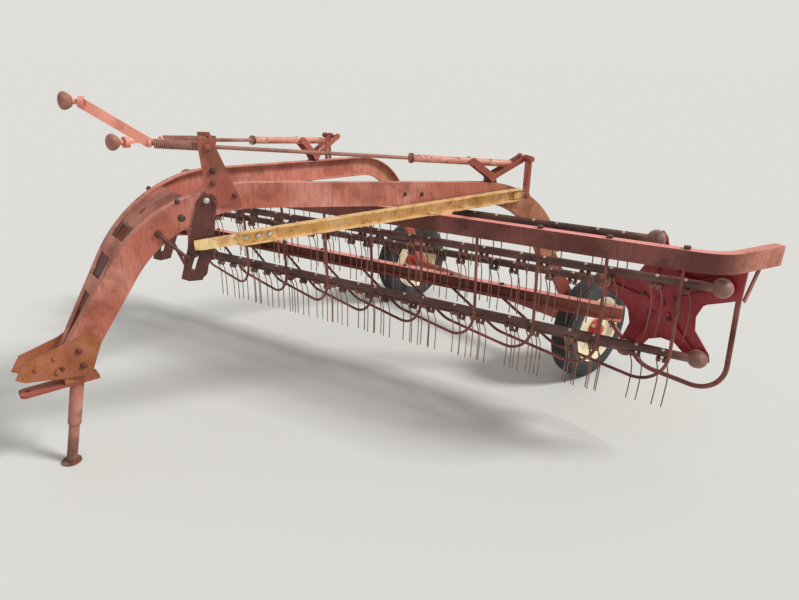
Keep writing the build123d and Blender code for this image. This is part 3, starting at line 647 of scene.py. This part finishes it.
@dataclass
class Reel:
    """Five tooth bars between two five-armed heads, with double spring teeth.

    Attributes:
        repeat: Trees that set the copies.
        hub: Centre of the rear head.
        angle: Degrees between the bars and X in plan.
        length: Distance between the heads' centres along the bars.
        radius: Distance of the bars' pins from a head's centre.
        arms: Arms of a head, and bars.
        first_bar: Degrees from Y to the first arm.
        bar_radius: Radius of a bar's tube.
        head_off: Distance of a head's plate from its centre along X.
        first_x: X of the rearmost stripper.
        gap_x: X between two strippers.
        gaps: Gaps between strippers, each with two double teeth.
        tooth_out: X of a double tooth from its gap's middle.
        coil_radius: Radius of a tooth's coil to the wire's middle.
        coil_half: Distance of a coil's outer turn from its tooth's middle.
        coil_inner: Distance of its inner turn.
        wire: Radius of the spring wire.
        turns: Turns of a coil.
        coil_steps: Points on a turn.
    """

    repeat: Repeat
    hub: Triple = (-2.3655, 1.6457, 0.7819)
    angle: float = 69.6
    length: float = 3.1655
    radius: float = 0.315
    arms: int = 5
    first_bar: float = 101.97
    bar_radius: float = 0.021
    head_off: float = 0.028
    first_x: float = -2.2356
    gap_x: float = 0.11423
    gaps: int = 9
    tooth_out: float = 0.0212
    coil_radius: float = 0.0135
    coil_half: float = 0.0225
    coil_inner: float = 0.006
    wire: float = 0.003
    turns: int = 3
    coil_steps: int = 12

    # X and Y of a tine's foot from the bar's middle line, on the front half of a tooth
    FOOT = (0.008, -0.0215)
    # Y from its foot and Z from the bar's underside, along a tine from its tip
    TINE = ((0.016, -0.269), (0.0195, -0.200), (0.022, -0.129), (0.019, -0.085), (0.012, -0.055))
    # The loop between the coils: along the bar, square to it, and up from the coils' middle
    LOOP = ((0.004, 0.018, 0.010), (0.0, 0.020, 0.014), (-0.004, 0.018, 0.010))
    TOOTH_BOLT = ((0.0, 0.005), (0.006, 0.004), (0.009, 0.0), (0.009, -0.004))
    # The way the bolts on the bars point
    BOLT_LEAN = (0.5, 0.19, 0.85)
    # Radius and angle from its middle line of an arm's outline
    ARM_EDGE = ((0.178, -36), (0.205, -17), (0.325, -8), (0.352, -4.5), (0.352, 4.5), (0.325, 8),
                (0.205, 17))
    EDGE_WIRE = 0.0032
    HEAD_NUT = ((0.0, 0.011), (0.007, 0.011), (0.0125, 0.009), (0.0135, 0.0), (0.0135, -0.004))
    # Radius of the circle the head's nuts stand on, and its turn in radians
    NUT_CIRCLE, NUT_TURN = 0.088, 0.4
    HUB_CAP = ((0.0, 0.014), (0.014, 0.013), (0.024, 0.007), (0.027, 0.0), (0.027, -0.004))
    BELL_RING = ((0.0405, -0.003), (0.0445, -0.002), (0.0455, 0.0), (0.0445, 0.002), (0.0405, 0.003))
    # Places of a bell's two rings along X from its pin
    RING_AT = (0.005, 0.0175)

    def along(self) -> Vector:
        """Unit vector along the bars, towards the front head."""
        return Vector((cos(radians(self.angle)), -sin(radians(self.angle)), 0))

    def on_arm(self, centre: Vector, arm: int, reach: float, off: float = 0.0) -> Vector:
        """Find a point on a head's arm.

        Args:
            centre: Middle of the head.
            arm: The arm's number from 0.
            reach: Distance from the middle.
            off: Degrees from the arm's middle line.

        Returns:
            The point.
        """
        a = radians(self.first_bar + 360 / self.arms * arm + off)
        return centre + Vector((0, reach * cos(a), reach * sin(a)))

    def tooth(self) -> Mesh:
        """Make one double tooth: tine, coil, the loop held by the bolt, and the same back again.

        Returns:
            The tooth at the middle of its bar.
        """
        along, up = self.along(), Vector((0, 0, 1))
        square = up.cross(along)
        middle = up * -(self.bar_radius + self.coil_radius + self.wire)
        steps = self.coil_steps * self.turns

        def half(sign: float) -> list[Vector]:
            """Lay out one half, from the tine's tip to the coil's inner end.

            Args:
                sign: Side of the tooth's middle, along the bar.

            Returns:
                Its points.
            """
            line = [Vector((sign * self.FOOT[0], sign * self.FOOT[1] + y, z - self.bar_radius))
                    for y, z in self.TINE]
            for k in range(steps + 1):
                t = 2 * pi * k / self.coil_steps
                shift = sign * (self.coil_half - (self.coil_half - self.coil_inner) * k / steps)
                line.append(middle + along * shift + (square * cos(t) + up * sin(t)) * self.coil_radius)
            return line

        loop = [middle + along * a + square * b + up * c for a, b, c in self.LOOP]
        return Shop.wire(half(1) + loop + half(-1)[::-1], self.wire)

    def build(self) -> None:
        """Make the teeth, their bolts, and the trim of the heads."""
        along, rear = self.along(), Vector(self.hub)
        slope = along.y / along.x
        bolt = Shop.turned(self.TOOTH_BOLT, steps=10)
        bolt.transform(Matrix.Translation((0, 0, self.bar_radius)))
        bolt.transform(Shop.upright(Vector(), Vector(self.BOLT_LEAN)))
        spacing = {"Count": self.gaps, "Step": Vector((self.gap_x, self.gap_x * slope, 0))}
        for arm in range(self.arms):
            number, body = arm + 1, f"bar_{arm + 1}"
            pin, row = self.on_arm(rear, arm, self.radius), self.repeat.row
            teeth, bolts = [], []
            for half in (-1, 1):
                x = self.first_x - self.gap_x / 2 + half * self.tooth_out - rear.x
                place = Matrix.Translation(pin + Vector((x, x * slope, 0)))
                teeth.append(self.repeat.run(row, self.tooth(), Finishes.WIRE, place, **spacing))
                bolts.append(self.repeat.run(row, bolt, Finishes.BOLT, place, **spacing))
            Shop.show(f"spring_teeth_{number}", Shop.joined(teeth), Finishes.WIRE, body,
                      replaces=(f"teeth_{number}",), smooth=60)
            Shop.show(f"tooth_bolts_{number}", Shop.joined(bolts), Finishes.BOLT, body)
        self.head("rear", rear, -1.0)
        self.head("front", rear + along * self.length, 1.0)

    def head(self, label: str, hub: Vector, sign: float) -> None:
        """Trim one head and the bells on it.

        Args:
            label: The head's name.
            hub: Its centre.
            sign: Side of the hub on which its plate stands, along X.
        """
        body = f"{label}_head"
        face, inward = hub + Vector((sign * self.head_off, 0, 0)), Vector((-sign, 0, 0))
        edge = [self.on_arm(face, arm, reach, off)
                for arm in range(self.arms) for reach, off in self.ARM_EDGE]
        Shop.show(f"head_edge_{label}", Shop.wire(edge, self.EDGE_WIRE, closed=True), Finishes.HEAD, body)
        nut = Shop.turned(self.HEAD_NUT, steps=6)
        nut.transform(Matrix.Translation((self.NUT_CIRCLE, 0, 0)))
        nuts = self.repeat.run(self.repeat.ring, nut, Finishes.NUT,
                               Shop.upright(face, inward, self.NUT_TURN), Count=self.arms)
        Shop.show(f"head_bolts_{label}", nuts, Finishes.NUT, body)
        cap = Shop.turned(self.HUB_CAP, steps=28)
        cap.transform(Shop.upright(face, inward))
        Shop.show(f"hub_cap_{label}", cap, Finishes.HEAD, body)
        for arm in range(self.arms):
            rings = []
            for shift in self.RING_AT:
                ring = Shop.turned(self.BELL_RING, ring=True)
                at = self.on_arm(hub, arm, self.radius) + Vector((sign * shift, 0, 0))
                ring.transform(Shop.upright(at, Vector((1, 0, 0))))
                rings.append(ring)
            Shop.show(f"bell_rings_{label}_{arm + 1}", Shop.joined(rings), Finishes.RING,
                      f"bar_{arm + 1}")


@dataclass
class ScrewLift:
    """Spring, thread, sleeve and crank knob of one screw lift.

    Attributes:
        repeat: Trees that wind the coils.
        side: left or right.
        fall: How far the rod falls rearward for each metre of X.
        root_x: X of the crank's root.
        tube_x: X of the tube's front end.
        inset: Distance of the rod inside the beam's web.
        crank_lean: Distance of the knob's foot ahead of the crank's root.
        crank_out: Its distance from the rod's line.
    """

    repeat: Repeat
    side: str
    fall: float
    root_x: float
    tube_x: float
    inset: float = 0.024
    crank_lean: float = 0.260
    crank_out: float = 0.150

    # Radius of a coil to the wire's middle, the wire's radius, and the pitch
    SPRING = (0.018, 0.0036, 0.0083)
    THREAD = (0.009, 0.0011, 0.006)
    # Where the spring and the thread stop short of their neighbours, along X
    SPRING_GAPS = (0.014, 0.008)
    THREAD_GAPS = (0.090, 0.040)
    SLEEVE = ((0.0225, -0.012), (0.0250, -0.012), (0.0255, 0.0), (0.0245, 0.0035), (0.0225, 0.0035))
    KNOB = ((0.0115, 0.030), (0.021, 0.034), (0.0285, 0.043), (0.034, 0.052), (0.0368, 0.061),
            (0.0358, 0.068), (0.031, 0.0755), (0.022, 0.081), (0.011, 0.0835), (0.0, 0.084))
    KNOB_NUT = ((0.0, 0.017), (0.012, 0.017), (0.014, 0.015), (0.014, 0.008))

    def at(self, x: float) -> Vector:
        """Point of the rod's centre line at X."""
        pin_x, pin_z = LIFT_PINS[self.side]
        return BEAMS[self.side].point(x, pin_z + self.fall * (x - pin_x), -self.inset)

    def build(self) -> None:
        """Wind the spring, cut the thread, and trim the tube and the crank."""
        side, pin_x = self.side, LIFT_PINS[self.side][0]
        radius, wire, pitch = self.SPRING
        low, high = self.at(pin_x + self.SPRING_GAPS[0]), self.at(self.root_x - self.SPRING_GAPS[1])
        turns = float(round((high - low).length / pitch))
        spring = self.wound(low, high, turns, radius, wire, faces=(16, 8))
        Shop.show(f"coil_spring_{side}", spring, Finishes.ROD, "frame", replaces=(f"spring_{side}",),
                  smooth=60)
        radius, wire, pitch = self.THREAD
        low, high = self.at(self.tube_x + self.THREAD_GAPS[0]), self.at(pin_x - self.THREAD_GAPS[1])
        thread = self.wound(low, high, (high - low).length / pitch, radius, wire, faces=(10, 4))
        Shop.show(f"screw_thread_{side}", thread, Finishes.ROD, "frame", smooth=60)
        ahead = (self.at(self.root_x) - self.at(self.tube_x)).normalized()
        sleeve = Shop.turned(self.SLEEVE, ring=True)
        sleeve.transform(Shop.upright(self.at(self.tube_x), ahead))
        Shop.show(f"tube_sleeve_{side}", sleeve, Finishes.NUT, f"{side}_tube")
        self.crank(ahead)

    def wound(self, low: Vector, high: Vector, turns: float, radius: float, wire: float,
              faces: tuple[int, int]) -> Mesh:
        """Wind a coil on the rod.

        Args:
            low: Where it starts.
            high: Where it ends.
            turns: Number of turns.
            radius: Radius to the wire's middle.
            wire: The wire's radius.
            faces: Steps round a turn and faces round the wire.

        Returns:
            The coil in the row frame.
        """
        return self.repeat.run(self.repeat.coil, None, Finishes.ROD, Shop.upright(low, high - low),
                               Turns=turns, Height=(high - low).length, Radius=radius, Wire=wire,
                               Steps=faces[0], Sides=faces[1])

    def crank(self, ahead: Vector) -> None:
        """Round the crank's knob and set its nut.

        Args:
            ahead: Unit vector along the rod, towards the crank.
        """
        across = Vector((0, 0, 1)).cross(ahead).normalized()
        out = ahead.cross(across) if self.side == "left" else across
        tip = self.at(self.root_x) + ahead * self.crank_lean + out * self.crank_out
        knob = Shop.turned(self.KNOB, steps=40)
        knob.transform(Shop.upright(tip, ahead))
        Shop.show(f"crank_knob_{self.side}", knob, Finishes.ROD, "frame", smooth=50)
        nut = Shop.turned(self.KNOB_NUT, steps=6)
        nut.transform(Shop.upright(tip, -ahead))
        Shop.show(f"crank_nut_{self.side}", nut, Finishes.LIFT, "frame")


@dataclass(frozen=True)
class Bolt:
    """A domed head on a plate.

    Attributes:
        seat: Distance of the plate's face from the beam's web.
        radius: The head's radius.
        height: Its height.
    """

    seat: float
    radius: float
    height: float

    # Its dome from the top down, in shares of its radius and height
    DOME = ((0.0, 1.0), (0.6, 0.9), (0.92, 0.45), (1.0, 0.0))
    # Height of its lower rim from its seat
    SUNK = -0.003

    def mesh(self, beam: Beam, x: float, z: float) -> Mesh:
        """Make the head beside a beam.

        Args:
            beam: The beam.
            x: X of the head on the beam's web.
            z: Its Z.

        Returns:
            The head in the row frame.
        """
        dome = [(self.radius * across, self.height * up) for across, up in self.DOME]
        head = Shop.turned(dome + [(self.radius, self.SUNK)], steps=16)
        head.transform(Shop.upright(beam.point(x, z, self.seat), beam.outward()))
        return head


# A bolt with the X and Z of its head
Placed = tuple[Bolt, float, float]


@dataclass
class PlateBolts:
    """Bolts on the web, hitch plate, upright, hanger and arm of one side.

    Attributes:
        side: left or right.
        web_x: X of the front one of the two bolts on the beam's web.
        arm_rise: How far the arm rises rearward for each metre of X.
    """

    side: str
    web_x: float
    arm_rise: float

    UPRIGHT, UPRIGHT_FOOT = Bolt(0.016, 0.0125, 0.007), Bolt(0.010, 0.012, 0.009)
    WEB, WEB_FRONT = Bolt(0.0, 0.011, 0.009), Bolt(0.0, 0.012, 0.008)
    HITCH_PLATE, HITCH_NOSE = Bolt(0.0076, 0.015, 0.010), Bolt(0.0145, 0.012, 0.009)
    ROD_PIN = Bolt(0.016, 0.0165, 0.007)
    ARM, ARM_SPLICE = Bolt(0.035, 0.0135, 0.008), Bolt(0.043, 0.0135, 0.008)
    # Bolts of the upright, with X and Z from the rod's pin
    FROM_PIN = ((UPRIGHT, -0.010, -0.105), (UPRIGHT, -0.007, -0.160), (UPRIGHT_FOOT, -0.094, -0.222),
                (UPRIGHT_FOOT, -0.006, -0.246))
    # Bolts on the web, with X from web_x
    FROM_WEB_X = ((WEB, 0.0, 1.229), (WEB, -0.089, 1.2235))
    # The other bolts of the beam's front, the hanger's bolt, and the plug in the web's hole
    FRONT = ((WEB_FRONT, -0.600, 1.262), (HITCH_PLATE, -0.120, 0.600), (HITCH_PLATE, -0.126, 0.525),
             (HITCH_NOSE, -0.0415, 0.525))
    HANGER = (Bolt(0.019, 0.0145, 0.008), -0.719, 1.262)
    WEB_PLUG = (Bolt(-0.002, 0.019, 0.006), -0.610, 1.186)
    # Bolts of the arm, with their distance along X behind the hinge pin
    BEHIND_HINGE = ((ARM_SPLICE, 0.250), (ARM_SPLICE, 0.300), (ARM, 0.195))

    def build(self) -> None:
        """Set every bolt on its plate."""
        pin_x, pin_z = LIFT_PINS[self.side]
        upright = [(bolt, pin_x + x, pin_z + z) for bolt, x, z in self.FROM_PIN]
        web = [(bolt, self.web_x + x, z) for bolt, x, z in self.FROM_WEB_X]
        arm = [(bolt, HINGE[0] - far, HINGE[1] + self.arm_rise * far) for bolt, far in self.BEHIND_HINGE]
        self.show("plate_bolts", Finishes.SHADE, (*upright, *web, *self.FRONT))
        self.show("rod_pin_head", Finishes.LIFT, ((self.ROD_PIN, pin_x, pin_z),))
        self.show("hanger_bolt", Finishes.BOLT, (self.HANGER,))
        self.show("web_plug", Finishes.NUT, (self.WEB_PLUG,))
        self.show("arm_bolts", Finishes.BOLT, arm, body="basket")

    def show(self, name: str, finish: Finishes, bolts: Sequence[Placed], body: str = "frame") -> None:
        """Show bolts as one piece.

        Args:
            name: What they are, without the side.
            finish: What covers them.
            bolts: The bolts and their places.
            body: CAD body they ride on.
        """
        heads = [bolt.mesh(BEAMS[self.side], x, z) for bolt, x, z in bolts]
        Shop.show(f"{name}_{self.side}", Shop.joined(heads), finish, body, smooth=50)


@dataclass
class HangerBrace:
    """Short round brace from a beam's web to its hanger, with an eye at each end.

    Attributes:
        side: left or right.
        top: X, Z and distance from the web of its upper eye.
        low: The same for its lower eye.
        rod: Its radius.
    """

    side: str
    top: Triple = (-0.5075, 1.1197, 0.006)
    low: Triple = (-0.6137, 1.0017, 0.020)
    rod: float = 0.0085

    EYE = ((0.0, 0.009), (0.010, 0.008), (0.016, 0.005), (0.016, -0.008))

    def build(self) -> None:
        """Lay the brace against the web and the hanger."""
        beam = BEAMS[self.side]
        ends = [beam.point(*self.top), beam.point(*self.low)]
        pieces = [Shop.wire(ends, self.rod, sides=2)]
        for end in ends:
            eye = Shop.turned(self.EYE, steps=20)
            eye.transform(Shop.upright(end, beam.outward()))
            pieces.append(eye)
        Shop.show(f"hanger_brace_{self.side}", Shop.joined(pieces), Finishes.SHADE, "frame", smooth=50)


@dataclass
class Wheel:
    """A ribbed implement tyre with its sidewall marks and wheel nuts.

    Attributes:
        repeat: Trees that set the copies.
        side: left or right.
        sign: Which way its outer side looks along Y.
        y: Its middle plane.
        axle_x: X of the axle.
        radius: The tyre's radius.
        half: Half its width.
        rim: The rim's radius.
        ribs: Ribs of the tread on each side of the middle one.
        rib_pitch: Distance between two ribs.
        rib_half: Half a rib's width at its top.
        groove: Depth of the grooves, and the slope of their walls.
        crown: Drop of the first rib beside the middle one.
        marks: Marks round a sidewall.
        nuts: Wheel nuts.
        nut_circle: Radius of the circle they stand on.
        disc: Distance of the disc's face from the middle plane.
    """

    repeat: Repeat
    side: str
    sign: float
    y: float
    axle_x: float = -2.805
    radius: float = 0.325
    half: float = 0.075
    rim: float = 0.213
    ribs: int = 2
    rib_pitch: float = 0.0205
    rib_half: float = 0.0072
    groove: Pair = (0.009, 0.002)
    crown: float = 0.0012
    marks: int = 36
    nuts: int = 5
    nut_circle: float = 0.054
    disc: float = 0.046

    # A sidewall from the bead up: height over the rim, and distance in from the tyre's side
    WALL = ((-0.012, 0.025), (0.004, 0.015), (0.014, 0.006), (0.030, 0.001), (0.052, 0.0), (0.070, 0.003),
            (0.086, 0.010), (0.098, 0.017))
    # The same for the ends of a mark, and the mark's radius
    MARK = ((0.044, 0.0006), (0.066, 0.0022))
    MARK_WIRE = 0.0012
    NUT = ((0.0, 0.019), (0.006, 0.019), (0.006, 0.015), (0.0105, 0.014), (0.0115, 0.0), (0.0115, -0.003))

    def tyre(self) -> Mesh:
        """Make the tyre.

        Returns:
            The tyre about Z.
        """
        depth, slope = self.groove
        tread = []
        for k in range(-self.ribs, self.ribs + 1):
            y, top = k * self.rib_pitch, self.radius - self.crown * k * k
            low, high = y - self.rib_half, y + self.rib_half
            tread += [(top - depth, low - slope), (top, low), (top, high), (top - depth, high + slope)]
        wall = [(self.rim + up, self.half - inward) for up, inward in self.WALL]
        return Shop.turned([(r, -h) for r, h in wall] + tread + wall[::-1], steps=72, ring=True)

    def build(self) -> None:
        """Set the tyre, its sidewall marks and the nuts."""
        body, centre = f"{self.side}_wheel", Vector((self.axle_x, self.y, self.radius))
        place = Shop.upright(centre, Vector((0, 1, 0)))
        tyre = self.tyre()
        tyre.transform(place)
        Shop.show(f"ribbed_tyre_{self.side}", tyre, Finishes.RUBBER, body,
                  replaces=(f"tyre_{self.side}",), smooth=40)
        ends = [Vector((self.rim + up, 0, self.sign * (self.half - inward))) for up, inward in self.MARK]
        marks = self.repeat.run(self.repeat.ring, Shop.wire(ends, self.MARK_WIRE), Finishes.RUBBER, place,
                                Count=self.marks)
        Shop.show(f"sidewall_marks_{self.side}", marks, Finishes.RUBBER, body)
        nut = Shop.turned(self.NUT, steps=6)
        nut.transform(Matrix.Translation((self.nut_circle, 0, self.disc)))
        nuts = self.repeat.run(self.repeat.ring, nut, Finishes.BOLT,
                               Shop.upright(centre, Vector((0, self.sign, 0))), Count=self.nuts)
        Shop.show(f"wheel_nuts_{self.side}", nuts, Finishes.BOLT, body)


class Dressing:
    """Gives every carried CAD node its finish."""

    # How the nodes' names start, and the finish; the first rule that fits counts
    RULES = (
        # The tongue plate's finish paints the shade of the trough's recess
        (("tongue_plate",), Finishes.TROUGH_PAINTED_SHADE),
        (("main_beam", "tongue_cleats"), Finishes.BEAM),
        (("hitch",), Finishes.HITCH),
        (("stand",), Finishes.STAND),
        # Hangers and lever brackets get the dark plate finish, which paints the beams' shade on them
        (("hanger", "lever_bracket"), Finishes.SHADE),
        (("axle", "upright", "lift_lever", "strap", "drawbar"), Finishes.LIFT),
        (("upper_beam", "lower_beam"), Finishes.BASKET),
        (("star", "head_support"), Finishes.HEAD),
        (("stripper_bolts",), Finishes.NUT),
        (("strippers", "end_hoops"), Finishes.HOOP),
        (("tooth_bar",), Finishes.BAR),
        (("screw_rod", "spring"), Finishes.ROD),
        (("teeth",), Finishes.WIRE),
        (("crank",), Finishes.CRANK),
        (("lift_tube",), Finishes.TUBE),
        (("arm_left", "arm_right", "arm_bracket"), Finishes.ARM),
        (("rim",), Finishes.RIM),
        (("hub",), Finishes.HUB),
        (("tyre",), Finishes.RUBBER),
    )

    def build(self, nodes: dict[str, Piece]) -> None:
        """Dress the nodes.

        Args:
            nodes: CAD nodes by name.
        """
        for name, node in nodes.items():
            finish = next(f for starts, f in self.RULES if name.startswith(starts))
            node.data.materials.clear()
            node.data.materials.append(finish.value.material())
            LOG.info("%s: %s", name, finish.value.name)


@dataclass
class Studio:
    """Pale floor, soft light and the camera at the photograph's angle.

    Attributes:
        position: Where the camera stands.
        heading: Its heading from X in degrees.
        tilt: How far it looks down, in degrees.
        roll: How far it is rolled, in degrees.
        lens: Focal length in millimetres.
        sensor: Width of its sensor in millimetres.
    """

    position: Triple = (0.3137, 2.8959, 1.846)
    heading: float = -129.853
    tilt: float = 21.66
    roll: float = 0.753
    lens: float = 26.63
    sensor: float = 36.0

    FLOOR, FLOOR_HALF, FLOOR_ROUGHNESS = "#D5D4CF", 900, 0.9
    # How far the camera sees, past the floor's corners
    CLIP_END = 2000
    BACKDROP = "#DFDED9"
    SKY, SKY_STRENGTH = "#FFFFFF", 0.55
    # The sun: its strength, its width in degrees, and the way to it
    SUN_STRENGTH, SUN_WIDTH, SUN_AT = 2.6, 14, (-0.49, 0.56, 0.67)

    def build(self) -> None:
        """Make the stage."""
        self.floor()
        self.sky()
        self.sun()
        self.camera()

    def floor(self) -> None:
        """Lay the floor."""
        half = self.FLOOR_HALF
        corners = [(-half, -half, 0), (half, -half, 0), (half, half, 0), (-half, half, 0)]
        mesh = bpy.data.meshes.new("floor")
        mesh.from_pydata(corners, [], [(0, 1, 2, 3)])
        plain = bpy.data.materials.new("pale_floor")
        plain.use_nodes = True
        shader = plain.node_tree.nodes["Principled BSDF"]
        shader.inputs["Base Color"].default_value = linear(self.FLOOR)
        shader.inputs["Roughness"].default_value = self.FLOOR_ROUGHNESS
        shader.inputs["Specular IOR Level"].default_value = 0.0
        mesh.materials.append(plain)
        floor = bpy.data.objects.new("floor", mesh)
        bpy.context.scene.collection.objects.link(floor)

    def sky(self) -> None:
        """Light the rake evenly and show the backdrop to the camera and in reflections."""
        scene = bpy.context.scene
        scene.view_settings.view_transform = "Standard"
        world = bpy.data.worlds.new("sky")
        world.use_nodes = True
        tree = world.node_tree
        tree.nodes.clear()
        path = add_node(tree, "ShaderNodeLightPath").outputs
        seen = path["Is Camera Ray"]
        for kind in ("Is Glossy Ray", "Is Transmission Ray"):
            seen = combine(tree, "MAXIMUM", seen, path[kind])
        light = add_node(tree, "ShaderNodeBackground", {0: linear(self.SKY), 1: self.SKY_STRENGTH})
        backdrop = add_node(tree, "ShaderNodeBackground", {0: linear(self.BACKDROP), 1: 1.0})
        both = add_node(tree, "ShaderNodeMixShader",
                        links={0: seen, 1: light.outputs[0], 2: backdrop.outputs[0]})
        add_node(tree, "ShaderNodeOutputWorld", links={0: both.outputs[0]})
        scene.world = world

    def sun(self) -> None:
        """Hang one broad soft sun."""
        lamp = bpy.data.lights.new("sun", "SUN")
        lamp.energy = self.SUN_STRENGTH
        lamp.angle = radians(self.SUN_WIDTH)
        sun = bpy.data.objects.new("sun", lamp)
        sun.rotation_mode = "QUATERNION"
        sun.rotation_quaternion = Vector(self.SUN_AT).to_track_quat("Z", "Y")
        bpy.context.scene.collection.objects.link(sun)

    def camera(self) -> None:
        """Stand the camera where the photograph was taken."""
        heading, tilt, roll = radians(self.heading), radians(self.tilt), radians(self.roll)
        forward = Vector((cos(heading), sin(heading), 0))
        right = Vector((sin(heading), -cos(heading), 0))
        view = forward * cos(tilt) - Vector((0, 0, sin(tilt)))
        up = forward * sin(tilt) + Vector((0, 0, cos(tilt)))
        across, top = right * cos(roll) + up * sin(roll), up * cos(roll) - right * sin(roll)
        data = bpy.data.cameras.new("camera")
        data.lens, data.sensor_width = self.lens, self.sensor
        data.clip_end = self.CLIP_END
        camera = bpy.data.objects.new("camera", data)
        turn = Matrix((across, top, -view)).transposed()
        camera.matrix_world = Matrix.Translation(self.position) @ turn.to_4x4()
        bpy.context.scene.collection.objects.link(camera)
        bpy.context.scene.camera = camera


def main() -> None:
    """Build every sub-assembly in order."""
    logging.basicConfig(level=logging.INFO, format="%(message)s")
    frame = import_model()
    repeat = Repeat()
    Dressing().build(frame["nodes"])
    Reel(repeat).build()
    ScrewLift(repeat, "left", fall=0.0959, root_x=-0.530, tube_x=-1.681).build()
    ScrewLift(repeat, "right", fall=0.0859, root_x=-0.692, tube_x=-1.217).build()
    PlateBolts("left", web_x=-1.649, arm_rise=0.0825).build()
    PlateBolts("right", web_x=-1.200, arm_rise=0.1213).build()
    HangerBrace("left").build()
    Wheel(repeat, "left", sign=1.0, y=1.039).build()
    Wheel(repeat, "right", sign=-1.0, y=-0.683).build()
    Studio().build()


if __name__ == "__main__":
    main()
